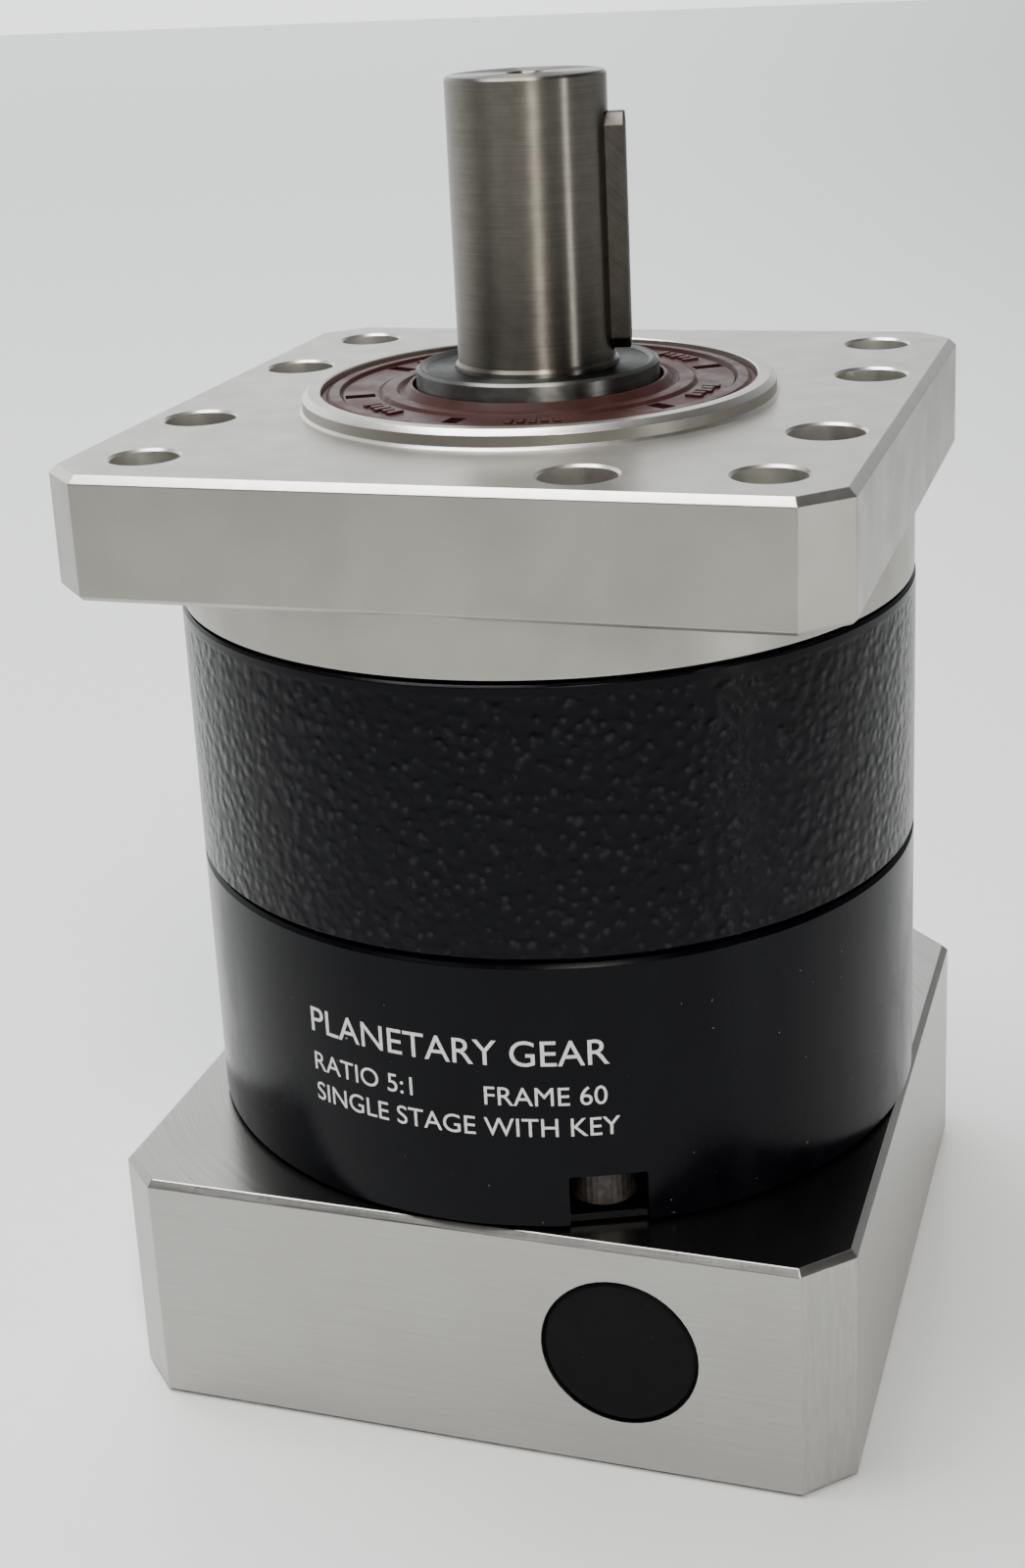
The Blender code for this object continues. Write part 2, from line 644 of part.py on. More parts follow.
def make_fixed_fittings(group):
    """Seals, O-rings, circlip, dowels and screws that stay with the housing."""
    seal = ring("output_seal", COLLAR_R + GAP, BEARING_R, SEAL_BOTTOM, SEAL_TOP, group, VISIBLE)
    finish(seal, SEAL_RUBBER)
    finish(ring("input_seal", INPUT_SEAT_R + GAP, INPUT_SEAL_R, *INPUT_SEAL, group), BLACK_RUBBER)
    o_ring("flange_o_ring", SPIGOT_R, FLANGE_GROOVE, group)
    o_ring("housing_o_ring", RING_SPIGOT_R, RING_GROOVE, group)
    circlip("input_bearing_circlip", HOUSING_CIRCLIP_R, group)
    dowel = posts("dowel_blank", SCREW_R, *DOWEL_SPAN, ON_AXIS, group)
    spots = [around(FLANGE_SCREW_CIRCLE, angle) for angle in DOWEL_ANGLES]
    repeated("dowel_pin", dowel, spots, BEARING_STEEL, group)
    screw = cap_screw("flange_screw_blank", FLANGE_SCREW_SEAT, FLANGE_SCREW_END, group)
    spots = [around(FLANGE_SCREW_CIRCLE, angle) for angle in FLANGE_SCREW_ANGLES]
    repeated("flange_screw", screw, spots, BLACK_SCREW, group)
    screw = cap_screw("adapter_screw_blank", NOTCH_FLOOR, NOTCH_SCREW_END, group)
    spots = [around(NOTCH_CIRCLE, angle) for angle in NOTCH_ANGLES]
    repeated("adapter_screw", screw, spots, BLACK_SCREW, group)


def make_output_shaft(group):
    """Output shaft in one piece with the front carrier plate and its three pillars."""
    hole_floor = SHAFT_TOP - CENTRE_HOLE_DEPTH
    mouth_r = CENTRE_HOLE_R + CENTRE_HOLE_CHAMFER
    shoulder_top = REAR_BEARING[0] - GAP
    profile = [
        (0, hole_floor - CENTRE_HOLE_TIP), (CENTRE_HOLE_R, hole_floor),
        (CENTRE_HOLE_R, SHAFT_TOP - CENTRE_HOLE_CHAMFER), (mouth_r, SHAFT_TOP),
        (SHAFT_R - SHAFT_CHAMFER, SHAFT_TOP), (SHAFT_R, SHAFT_TOP - SHAFT_CHAMFER), (SHAFT_R, SEAT_TOP),
        (SEAT_R, SEAT_TOP), (SEAT_R, shoulder_top), (REAR_SHOULDER_R, shoulder_top),
        (REAR_SHOULDER_R, CARRIER_TOP), (CARRIER_R, CARRIER_TOP - CARRIER_CHAMFER),
        (CARRIER_R, CARRIER_BOTTOM), (0, CARRIER_BOTTOM),
    ]
    shaft = turned("output_shaft", profile, group, PARTLY_SEEN, closed=False)
    pillars = [around(PLANET_CIRCLE, angle) for angle in PILLAR_ANGLES]
    low = REAR_PLATE[1] + GAP
    join(shaft, posts("carrier_pillars", PILLAR_R, low, CARRIER_BOTTOM + PAST, pillars, cutters))
    cut(shaft, posts("pillar_threads", SCREW_HOLE_R, low - PAST, low + THREAD_DEPTH, pillars, cutters))
    pins = [around(PLANET_CIRCLE, angle) for angle in PLANET_ANGLES]
    low, high = CARRIER_BOTTOM - PAST, PIN_SPAN[1] + GAP
    cut(shaft, posts("front_pin_holes", PIN_R + GAP, low, high, pins, cutters))
    floor_r = KEY_FLOOR_R - GAP
    depth = KEY_OUTER_R + PAST - floor_r
    size = (depth, KEY_WIDTH + GAP, KEY_TOP - KEY_BOTTOM + GAP)
    centre = (floor_r + depth / 2, 0, (KEY_TOP + KEY_BOTTOM) / 2)
    cut(shaft, block("keyway", size, centre, cutters, KEY_ANGLE))
    return finish(shaft, SHAFT_STEEL)


def make_shaft_key(group):
    """Parallel key with the corners of both ends taken off."""
    size = (KEY_OUTER_R - KEY_FLOOR_R, KEY_WIDTH, KEY_TOP - KEY_BOTTOM)
    centre = ((KEY_OUTER_R + KEY_FLOOR_R) / 2, 0, (KEY_TOP + KEY_BOTTOM) / 2)
    key = block("shaft_key", size, centre, group)
    bm = bmesh.new()
    bm.from_mesh(key.data)
    ends = [edge for edge in rim_edges(bm) if abs(edge.verts[0].co.y - edge.verts[1].co.y) < 1e-7]
    bmesh.ops.bevel(bm, geom=ends, offset=KEY_END_CHAMFER * MM, segments=1, affect="EDGES")
    turn = Matrix.Rotation(math.radians(KEY_ANGLE), 3, "Z")
    bmesh.ops.rotate(bm, cent=(0, 0, 0), matrix=turn, verts=bm.verts)
    bm.to_mesh(key.data)
    bm.free()
    return finish(key, KEY_STEEL)


def make_carrier_fittings(group):
    """Everything else that turns with the output shaft."""
    collar = [
        (COLLAR_R - COLLAR_CHAMFER, COLLAR_TOP), (COLLAR_R, COLLAR_TOP - COLLAR_CHAMFER),
        (COLLAR_R, SEAL_BOTTOM), (SEAT_R + GAP, SEAL_BOTTOM), (SEAT_R + GAP, COLLAR_TOP),
    ]
    finish(turned("shaft_collar", collar, group, VISIBLE), COLLAR_STEEL)
    low, high = REAR_BEARING[1] + GAP, FRONT_BEARING[0] - GAP
    finish(ring("bearing_spacer", SEAT_R + GAP, SPACER_R, low, high, group), GEAR_STEEL)
    plate = ring("carrier_rear_plate", REAR_PLATE_BORE_R, CARRIER_R, *REAR_PLATE, group)
    pins = [around(PLANET_CIRCLE, angle) for angle in PLANET_ANGLES]
    pillars = [around(PLANET_CIRCLE, angle) for angle in PILLAR_ANGLES]
    low, high = REAR_PLATE[0] - PAST, REAR_PLATE[1] + PAST
    cut(plate, posts("rear_pin_holes", PIN_R + GAP, low, high, pins, cutters))
    cut(plate, posts("rear_screw_holes", SCREW_HOLE_R, low, high, pillars, cutters))
    high = REAR_PLATE[0] + REAR_COUNTERBORE
    cut(plate, posts("rear_screw_heads", HEAD_HOLE_R, low, high, pillars, cutters))
    finish(plate, GEAR_STEEL)
    pin = posts("planet_pin_blank", PIN_R, *PIN_SPAN, ON_AXIS, group)
    repeated("planet_pin", pin, pins, BEARING_STEEL, group)
    low = REAR_PLATE[0] + REAR_COUNTERBORE - GAP - CARRIER_SCREW_HEAD
    seat = low + CARRIER_SCREW_HEAD
    end = low + CARRIER_SCREW_LENGTH
    profile = [(0, end), (SCREW_R, end), (SCREW_R, seat), (HEAD_R, seat), (HEAD_R, low), (0, low)]
    screw = turned("carrier_screw_blank", profile, group, HOLE, closed=False)
    repeated("carrier_screw", screw, pillars, BLACK_SCREW, group)
    low, high = REAR_PLATE[1] + GAP, PLANET_SPAN[0] - GAP
    washer = ring("thrust_washer_blank", PIN_R + GAP, WASHER_R, low, high, group, VISIBLE_HOLE)
    heights = (0.0, CARRIER_BOTTOM - GAP - high)
    spots = [spot + Vector((0, 0, height)) for height in heights for spot in pins]
    repeated("thrust_washer", washer, spots, BRONZE, group)


def make_planet(index, angle, group):
    """One planet gear and its bush, with their origins on the planet's axis."""
    spot = around(PLANET_CIRCLE, angle)
    half_pitch = 360 / PLANET_TEETH / 2
    teeth = gear_outline(PLANET_TEETH, tooth_radii(PLANET_TEETH), BACKLASH / 2, angle + half_pitch)
    bore = circle_outline(BUSH_R + GAP, HIDDEN)
    gear = extruded(f"planet_gear_{index}", [teeth, bore], *PLANET_SPAN, group)
    gear.location += Vector((spot.x, spot.y, 0)) * MM
    finish(gear, GEAR_STEEL)
    bush = ring(f"planet_bush_{index}", PIN_R + GAP, BUSH_R, *PLANET_SPAN, group)
    bush.location = spot * MM
    finish(bush, BRONZE)


def make_sun_gear(group):
    """Input shaft: sun teeth on top, bearing seat in the middle, slotted clamp hub below."""
    nose_top = SUN_SPAN[1] - TOOTH_RUNOUT
    seat_r, flange_top = INPUT_SEAT_R, INPUT_BEARING[0] - GAP
    groove_r = SHAFT_CIRCLIP_R[0] - GAP
    groove_low, groove_high = CIRCLIP_GROOVE
    profile = [
        (0, nose_top), (SUN_NOSE_R, nose_top), (SUN_NOSE_R, SUN_SPAN[0]), (SUN_NECK_R, SUN_SPAN[0]),
        (SUN_NECK_R, INPUT_SEAT_TOP), (seat_r, INPUT_SEAT_TOP), (seat_r, groove_high), (groove_r, groove_high),
        (groove_r, groove_low), (seat_r, groove_low), (seat_r, flange_top), (INPUT_FLANGE_R, flange_top),
        (INPUT_FLANGE_R, INPUT_FLANGE_BOTTOM), (seat_r, INPUT_FLANGE_BOTTOM), (seat_r, HUB_TOP),
        (HUB_R, HUB_TOP), (HUB_R, HUB_BOTTOM), (HUB_BORE_R, HUB_BOTTOM), (HUB_BORE_R, HUB_BORE_TOP),
        (0, HUB_BORE_TOP + HUB_BORE_TIP),
    ]
    shaft = turned("sun_gear", profile, group, HIDDEN, closed=False)
    teeth = gear_outline(SUN_TEETH, tooth_radii(SUN_TEETH), BACKLASH / 2, 0.0)
    join(shaft, extruded("sun_teeth", [teeth], SUN_SPAN[0] - TOOTH_RUNOUT, SUN_SPAN[1], cutters))
    centre = (HUB_SLIT[0] / 2, 0, HUB_BOTTOM - PAST + HUB_SLIT[2] / 2)
    cut(shaft, block("hub_slit", HUB_SLIT, centre, cutters))
    return finish(shaft, GEAR_STEEL)


def make_clamp(group):
    """Clamp collar with its slit, its tangential screw and the circlip on the input shaft."""
    collar = ring("clamp_collar", HUB_R + GAP, CLAMP_R, *CLAMP_SPAN, group, PARTLY_SEEN)
    size = (CLAMP_R, CLAMP_SLIT, CLAMP_SPAN[1] - CLAMP_SPAN[0] + 2 * PAST)
    cut(collar, block("clamp_slit", size, (HUB_R + CLAMP_R / 2, 0, CLAMP_Z), cutters))
    along = Matrix.Rotation(-math.pi / 2, 4, "X")
    axis = Vector((CLAMP_X, 0, CLAMP_Z))
    seat = -CLAMP_SCREW_SEAT
    bm = bmesh.new()
    cylinder_into(bm, SCREW_HOLE_R, seat - PAST, CLAMP_THREAD_END, axis, HOLE, along)
    cut(collar, new_mesh_object("clamp_screw_hole", bm, cutters))
    bm = bmesh.new()
    cylinder_into(bm, HEAD_HOLE_R, -CLAMP_R, seat, axis, HOLE, along)
    cut(collar, new_mesh_object("clamp_counterbore", bm, cutters))
    finish(collar, SPRING_STEEL)
    screw = baked(cap_screw("clamp_screw_blank", 0.0, -CLAMP_SCREW_LENGTH, group), "clamp_screw", group)
    screw.location = (axis + Vector((0, seat, 0))) * MM
    screw.rotation_euler.x = math.pi / 2
    finish(screw, BLACK_SCREW)
    circlip("input_shaft_circlip", SHAFT_CIRCLIP_R, group)


def main():
    group = bpy.data.collections["planetary_gearbox"]
    make_output_flange(group)
    make_ring_gear(group)
    make_input_housing(group)
    make_motor_adapter(group)
    make_access_plug(group)
    make_fixed_fittings(group)
    make_output_shaft(group)
    make_shaft_key(group)
    make_carrier_fittings(group)
    for index, angle in enumerate(PLANET_ANGLES, 1):
        make_planet(index, angle, group)
    make_sun_gear(group)
    make_clamp(group)
    bearing("front_bearing", SEAT_R + GAP, FRONT_BEARING, group)
    bearing("rear_bearing", SEAT_R + GAP, REAR_BEARING, group)
    bearing("input_bearing", INPUT_SEAT_R + GAP, INPUT_BEARING, group)
    for cutter in cutters.objects:
        cutter.hide_render = True
        cutter.display_type = "WIRE"


clear_scene()
new_collection("planetary_gearbox")
cutters = new_collection("cutters")
main()
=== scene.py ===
"""Looks of the planetary gearbox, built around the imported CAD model.

Heights and radii are in millimetres in the gearbox's own frame and become metres in the
helpers. The outer sizes come from the boxes of the CAD nodes that the pieces stand for.
"""

import json
import math

import bmesh
import bpy
from mathutils import Matrix, Vector


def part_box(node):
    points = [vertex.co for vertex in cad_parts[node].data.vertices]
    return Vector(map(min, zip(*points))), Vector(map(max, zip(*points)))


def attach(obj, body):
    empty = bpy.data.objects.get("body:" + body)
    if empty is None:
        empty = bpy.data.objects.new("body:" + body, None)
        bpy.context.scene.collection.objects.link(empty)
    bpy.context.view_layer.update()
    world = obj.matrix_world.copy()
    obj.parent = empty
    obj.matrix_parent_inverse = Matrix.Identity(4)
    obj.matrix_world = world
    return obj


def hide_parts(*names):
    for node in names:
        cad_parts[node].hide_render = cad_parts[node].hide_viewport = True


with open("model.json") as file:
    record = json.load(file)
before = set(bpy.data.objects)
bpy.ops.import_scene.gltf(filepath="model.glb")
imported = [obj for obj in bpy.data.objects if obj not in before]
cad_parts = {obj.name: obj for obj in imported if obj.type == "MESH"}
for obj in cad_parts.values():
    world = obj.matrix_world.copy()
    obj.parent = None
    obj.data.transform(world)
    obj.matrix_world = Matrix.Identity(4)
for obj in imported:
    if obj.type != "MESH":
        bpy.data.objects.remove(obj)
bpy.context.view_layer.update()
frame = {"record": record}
members_of = frame["record"]["behaviour"]["bodies"]
BODY_OF = {node: body for body, members in members_of.items() for node in members}

MM = 0.001
SKIN = 0.03  # how far a detailed surface keeps inside its CAD solid, in mm


def top_of(node):
    """Highest point of a CAD node, in mm."""
    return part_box(node)[1].z / MM


def foot_of(node):
    """Lowest point of a CAD node, in mm."""
    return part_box(node)[0].z / MM


def span_of(node):
    """Lowest and highest point of a CAD node, in mm."""
    return foot_of(node), top_of(node)


def reach_of(node):
    """Farthest a CAD node centred on the gearbox axis reaches along Y, in mm."""
    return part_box(node)[1].y / MM


def middle_of(node):
    """Centre of a CAD node's box, in mm."""
    low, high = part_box(node)
    return (low + high) / 2 / MM


def around(radius, angle, z=0.0):
    """A point in mm at an angle in degrees about the gearbox axis."""
    turn = math.radians(angle)
    return Vector((radius * math.cos(turn), radius * math.sin(turn), z))


def spots_on(circle, angles):
    return [around(circle, angle) for angle in angles]


# ---- sizes

FRAME = 2 * reach_of("output_flange")
PLATE_SIZE = FRAME - 2 * SKIN
BODY_R = reach_of("ring_gear") - SKIN
BOLT_SQUARE = 47.14
BOLT_SIDES = (-BOLT_SQUARE / 2, BOLT_SQUARE / 2)
BOLT_CORNERS = [Vector((x, y, 0)) for x in BOLT_SIDES for y in BOLT_SIDES]
SCREW_CIRCLE = 27.2
FLANGE_SCREWS = spots_on(SCREW_CIRCLE, (22.5, 112.5, 157.5, 202.5, 292.5, 337.5))
DOWELS = spots_on(SCREW_CIRCLE, (67.5, 247.5))
NOTCH_ANGLES = (22.5, 112.5, 202.5, 292.5)
NOTCH_CIRCLE = middle_of("adapter_screw_1").xy.length
ADAPTER_SCREWS = spots_on(NOTCH_CIRCLE, NOTCH_ANGLES)
SCREW_HOLE_R = 1.8
SCREW_WELL_R = 2.95
PIN_HOLE_R = 3.3
SEAT_R = 17.8  # seats of the bearings' outer rings
CLIP_FOOT, CLIP_TOP = 35.5, 36.9  # the grooves of both circlips

SPIGOT_BOTTOM, BOSS_TOP = span_of("output_flange")
FLANGE_TOP = BOSS_TOP - 1.5
PLATE_BOTTOM = FLANGE_TOP - 9.5
RING_FOOT, RING_TOP = span_of("ring_gear")
HOUSING_FOOT, HOUSING_TOP = span_of("input_housing")
ADAPTER_TOP = top_of("motor_adapter")
SHAFT_TOP = top_of("output_shaft")
COLLAR_TOP = top_of("shaft_collar")
SEAL_FOOT, SEAL_TOP = span_of("output_seal")
KEY_FOOT, KEY_TOP = span_of("shaft_key")
KEY_ANGLE = 12.0

MODULE = 0.9
PRESSURE = math.radians(20.0)
ADDENDUM = 0.8 * MODULE
DEDENDUM = 1.0 * MODULE
BACKLASH = 0.1  # taken from each gear's teeth, along the pitch circle
SUN_TEETH = 12
PLANET_TEETH = 18
RING_TEETH = 48
PLANET_CIRCLE = 13.5
PLANET_ANGLES = (90.0, 210.0, 330.0)
PINS = spots_on(PLANET_CIRCLE, PLANET_ANGLES)
PILLARS = spots_on(PLANET_CIRCLE, (30.0, 150.0, 270.0))

BEARING_R = 17.5
BALL_CIRCLE = 12.6
BALL_R = 2.7
BALLS = 7
INNER_LAND_R = 10.3
OUTER_LAND_R = 15.1

ROUND = 192  # segments of the large visible rounds
HIDDEN = 96  # segments of the rounds inside
SMALL = 48  # segments of holes and screw heads
TINY = 24
SHARP = math.radians(28.0)
TOWARDS_FRONT = Matrix.Rotation(math.pi / 2, 4, "X")  # turns +Z towards -Y
TOWARDS_RIGHT = Matrix.Rotation(math.pi / 2, 4, "Y")  # turns +Z towards +X
UPSIDE_DOWN = Matrix.Rotation(math.pi, 4, "X")


# ---- meshes

def spun(angle):
    """A turn by an angle in degrees about the gearbox axis."""
    return Matrix.Rotation(math.radians(angle), 4, "Z")


def moved(spot):
    return Matrix.Translation(Vector(spot) * MM)


def place(name, data):
    thing = bpy.data.objects.new(name, data)
    bpy.context.scene.collection.objects.link(thing)
    return thing


def from_bmesh(name, bm):
    mesh = bpy.data.meshes.new(name)
    bm.to_mesh(mesh)
    bm.free()
    return place(name, mesh)


def eased(profile, closed):
    """Replaces each profile point that has a third value, its rounding, by a short arc."""
    count = len(profile)
    steps = 4
    points = []
    for index, corner in enumerate(profile):
        here = Vector(corner[:2])
        rounding = corner[2] if len(corner) > 2 else 0.0
        at_end = not closed and index in (0, count - 1)
        if rounding == 0.0 or at_end:
            points.append(here)
            continue
        before = Vector(profile[index - 1][:2]) - here
        after = Vector(profile[(index + 1) % count][:2]) - here
        opening = before.angle(after)
        reach = min(rounding / math.tan(opening / 2), 0.45 * before.length, 0.45 * after.length)
        start = here + before.normalized() * reach
        end = here + after.normalized() * reach
        for step in range(steps + 1):
            t = step / steps
            points.append(start * (1 - t) ** 2 + here * 2 * t * (1 - t) + end * t ** 2)
    return points


def turned(name, profile, segments=ROUND):
    """A Screw modifier on a profile of (radius, height) or (radius, height, rounding).

    A profile that starts on the axis ends there too, and any other is a closed loop.
    """
    closed = profile[0][0] > 0
    bm = bmesh.new()
    points = [bm.verts.new((point.x * MM, 0.0, point.y * MM)) for point in eased(profile, closed)]
    for first, second in zip(points, points[1:]):
        bm.edges.new((first, second))
    if closed:
        bm.edges.new((points[-1], points[0]))
    thing = from_bmesh(name, bm)
    screw = thing.modifiers.new("Turn", "SCREW")
    screw.angle = math.tau
    screw.steps = segments
    screw.render_steps = segments
    screw.use_merge_vertices = True
    screw.merge_threshold = 0.000001
    return baked(thing, name)


def baked(thing, name):
    """Replaces an object by a plain mesh of what its modifiers or its curve make."""
    bpy.context.view_layer.update()
    graph = bpy.context.evaluated_depsgraph_get()
    mesh = bpy.data.meshes.new_from_object(thing.evaluated_get(graph))
    mesh.transform(thing.matrix_world)
    bm = bmesh.new()
    bm.from_mesh(mesh)
    bmesh.ops.remove_doubles(bm, verts=bm.verts, dist=0.0000005)
    bm.to_mesh(mesh)
    bm.free()
    bpy.data.objects.remove(thing, do_unlink=True)
    mesh.name = name
    return place(name, mesh)


def transformed(thing, matrix):
    thing.data.transform(matrix)
    return thing


def box(name, size, centre, angle=0.0):
    bm = bmesh.new()
    bmesh.ops.create_cube(bm, size=1.0)
    bmesh.ops.scale(bm, vec=Vector(size) * MM, verts=bm.verts)
    bmesh.ops.translate(bm, vec=Vector(centre) * MM, verts=bm.verts)
    bmesh.ops.transform(bm, matrix=spun(angle), verts=bm.verts)
    return from_bmesh(name, bm)


def rising(height):
    """A test for edges that rise by more than a height in mm."""
    return lambda edge: abs(edge.verts[0].co.z - edge.verts[1].co.z) > height * MM


def above(height):
    """A test for edges that lie above a height in mm."""
    return lambda edge: min(vert.co.z for vert in edge.verts) > height * MM


def below(height):
    """A test for edges that lie below a height in mm."""
    return lambda edge: max(vert.co.z for vert in edge.verts) < height * MM


def bevelled(thing, width, segments=2, wanted=lambda edge: True):
    """Rounds the wanted sharp edges of a mesh."""
    bm = bmesh.new()
    bm.from_mesh(thing.data)
    sharp = [edge for edge in bm.edges if edge.calc_face_angle(0.0) > SHARP and wanted(edge)]
    bmesh.ops.bevel(bm, geom=sharp, offset=width * MM, segments=segments, profile=0.5, affect="EDGES")
    bm.to_mesh(thing.data)
    bm.free()
    return thing


def combined(thing, operation, *others):
    """Applies a Boolean with each of the other objects, which are then removed."""
    for other in others:
        boolean = thing.modifiers.new("Boolean", "BOOLEAN")
        boolean.operation = operation
        boolean.solver = "EXACT"
        boolean.object = other
    solid = baked(thing, thing.name)
    for other in others:
        bpy.data.objects.remove(other, do_unlink=True)
    return solid


def cut(thing, *others):
    return combined(thing, "DIFFERENCE", *others)


def join(thing, *others):
    return combined(thing, "UNION", *others)


def extruded(name, outlines, low, high):
    """A 2D curve of closed outlines, filled and extruded from low to high, as a mesh."""
    curve = bpy.data.curves.new(name + "_outline", "CURVE")
    curve.dimensions = "2D"
    curve.fill_mode = "BOTH"
    curve.extrude = (high - low) / 2 * MM
    for outline in outlines:
        spline = curve.splines.new("POLY")
        spline.points.add(len(outline) - 1)
        spline.use_cyclic_u = True
        for point, (x, y) in zip(spline.points, outline):
            point.co = (x * MM, y * MM, 0.0, 1.0)
    thing = place(name, curve)
    thing.location.z = (low + high) / 2 * MM
    return baked(thing, name)


def shaded(thing):
    """Smooth faces with sharp edges kept, and normals weighted by face area."""
    bm = bmesh.new()
    bm.from_mesh(thing.data)
    for face in bm.faces:
        face.smooth = True
    for edge in bm.edges:
        edge.smooth = edge.calc_face_angle(0.0) < SHARP
    bm.to_mesh(thing.data)
    bm.free()
    weighted = thing.modifiers.new("Weighted normals", "WEIGHTED_NORMAL")
    weighted.keep_sharp = True


def dressed(thing, material, slot, body, *replaced):
    """Gives a finished piece its material and body, and hides the CAD nodes it stands for. Its slot is not
    used.
    """
    thing.data.materials.clear()
    thing.data.materials.append(material)
    shaded(thing)
    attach(thing, body)
    if replaced:
        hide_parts(*replaced)


def lined(thing, spots, bore, chamfer):
    """Gives the walls of the holes at some spots and the upper chamfers a material each, brighter copies of
    the aluminium: painted light in the holes and a painted highlight on the chamfers.
    """
    thing.data.materials.append(bore)
    thing.data.materials.append(chamfer)
    for face in thing.data.polygons:
        centre = face.center / MM
        upright = abs(face.normal.z) < 0.5 and centre.z > PLATE_BOTTOM
        if upright and any((centre.xy - spot.xy).length < 3.2 for spot in spots):
            face.material_index = 1
        elif 0.5 < face.normal.z < 0.9 and centre.z > FLANGE_TOP - 1:
            face.material_index = 2


def hole(name, radius, low, high, chamfer, spots, segments=SMALL):
    """A cutter for round holes that open upwards at high, with a chamfered mouth."""
    profile = [
        (0, high + 1), (radius + chamfer, high + 1), (radius + chamfer, high),
        (radius, high - chamfer), (radius, low), (0, low),
    ]
    one = turned(name, profile, segments)
    bm = bmesh.new()
    for spot in spots:
        start = len(bm.verts)
        bm.from_mesh(one.data)
        bm.verts.ensure_lookup_table()
        bmesh.ops.transform(bm, matrix=moved(spot), verts=bm.verts[start:])
    bpy.data.objects.remove(one, do_unlink=True)
    return from_bmesh(name, bm)


def numbered(name, blank, nodes, count, height, material, slot):
    """Copies of an upright blank, one on the axis of each numbered CAD node that it stands for.

    Its zero goes to a height, or to each node's own foot where the height is None.
    """
    for number in range(1, count + 1):
        node = f"{nodes}_{number}"
        spot = middle_of(node)
        spot.z = foot_of(node) if height is None else height
        copy = place(f"{name}_{number}", blank.data.copy())
        transformed(copy, moved(spot) @ spun(37.0 * number))
        dressed(copy, material, slot, BODY_OF[node], node)
    bpy.data.objects.remove(blank, do_unlink=True)


# ---- materials

class Nodes:
    """Short ways to add nodes to a node tree."""

    def __init__(self, tree):
        self.tree = tree

    def node(self, kind, inputs=None, **settings):
        made = self.tree.nodes.new(kind)
        for key, value in settings.items():
            setattr(made, key, value)
        for key, value in (inputs or {}).items():
            if isinstance(value, bpy.types.NodeSocket):
                self.tree.links.new(value, made.inputs[key])
            else:
                made.inputs[key].default_value = value
        return made

    def math(self, operation, first, second=0.0):
        return self.node("ShaderNodeMath", {0: first, 1: second}, operation=operation).outputs[0]

    def product(self, first, second):
        return self.math("MULTIPLY", first, second)

    def split(self, vector):
        """The X, Y and Z of a vector."""
        return self.node("ShaderNodeSeparateXYZ", {0: vector}).outputs

    def ramp(self, factor, low, high, bottom=0.0, top=1.0):
        """Maps a factor from low..high to bottom..top, clamped and smooth."""
        inputs = {"Value": factor, "From Min": low, "From Max": high, "To Min": bottom, "To Max": top}
        return self.node("ShaderNodeMapRange", inputs, interpolation_type="SMOOTHSTEP").outputs["Result"]


class Look(Nodes):
    """A procedural material under construction; its coordinates are millimetres on the object."""

    def __init__(self, name, roughness=0.4, metallic=0.0):
        self.material = bpy.data.materials.new(name)
        self.material.use_nodes = True
        super().__init__(self.material.node_tree)
        self.shader = self.tree.nodes["Principled BSDF"]
        self.shader.inputs["Roughness"].default_value = roughness
        self.shader.inputs["Metallic"].default_value = metallic
        spot = self.node("ShaderNodeTexCoord")
        self.normal = spot.outputs["Normal"]
        self.spot = self.scaled(spot.outputs["Object"], (1000, 1000, 1000))

    def scaled(self, vector, scale):
        return self.node("ShaderNodeMapping", {"Vector": vector, "Scale": scale}).outputs[0]

    def vector(self, operation, first, second=(0.0, 0.0, 0.0)):
        return self.node("ShaderNodeVectorMath", {0: first, 1: second}, operation=operation)

    def noise(self, scale, detail=2.0, roughness=0.5, stretch=None, distortion=0.0):
        """Noise with so many features a millimetre, from about 0.3 to 0.7."""
        vector = self.scaled(self.spot, stretch) if stretch else self.spot
        inputs = {
            "Vector": vector, "Scale": scale, "Detail": detail,
            "Roughness": roughness, "Distortion": distortion,
        }
        return self.node("ShaderNodeTexNoise", inputs).outputs["Fac"]

    def lathe_lines(self, around, across, detail=3.0):
        """Noise in fine rings about the gearbox axis, on walls and on level faces."""
        flat = self.vector("MULTIPLY", self.spot, (1.0, 1.0, 0.0)).outputs[0]
        radius = self.vector("LENGTH", flat).outputs["Value"]
        height = self.split(self.spot)[2]
        path = self.product(self.math("ADD", radius, height), across)
        turn = self.scaled(self.vector("NORMALIZE", flat).outputs[0], (around, around, 0.0))
        rise = self.node("ShaderNodeCombineXYZ", {2: path}).outputs[0]
        inputs = {"Vector": self.vector("ADD", turn, rise).outputs[0], "Scale": 1.0, "Detail": detail}
        return self.node("ShaderNodeTexNoise", inputs).outputs["Fac"]

    def blended(self, factor, first, second):
        """Mixes two numbers."""
        return self.node("ShaderNodeMix", {0: factor, 2: first, 3: second}).outputs[0]

    def mixed(self, factor, first, second):
        """Mixes two colours, each a socket or three numbers."""
        pair = [(*value, 1.0) if isinstance(value, tuple) else value for value in (first, second)]
        inputs = {0: factor, 6: pair[0], 7: pair[1]}
        return self.node("ShaderNodeMix", inputs, data_type="RGBA").outputs[2]

    def height(self, value, depth, previous=None):
        """Bumps the surface by a value of 0 to 1, with a depth in millimetres."""
        inputs = {"Height": value, "Distance": depth * MM, "Strength": 1.0}
        if previous is not None:
            inputs["Normal"] = previous
        return self.node("ShaderNodeBump", inputs).outputs[0]

    def finish(self, colour, roughness, normal):
        for key, socket in (("Base Color", colour), ("Roughness", roughness), ("Normal", normal)):
            self.tree.links.new(socket, self.shader.inputs[key])
        return self.material


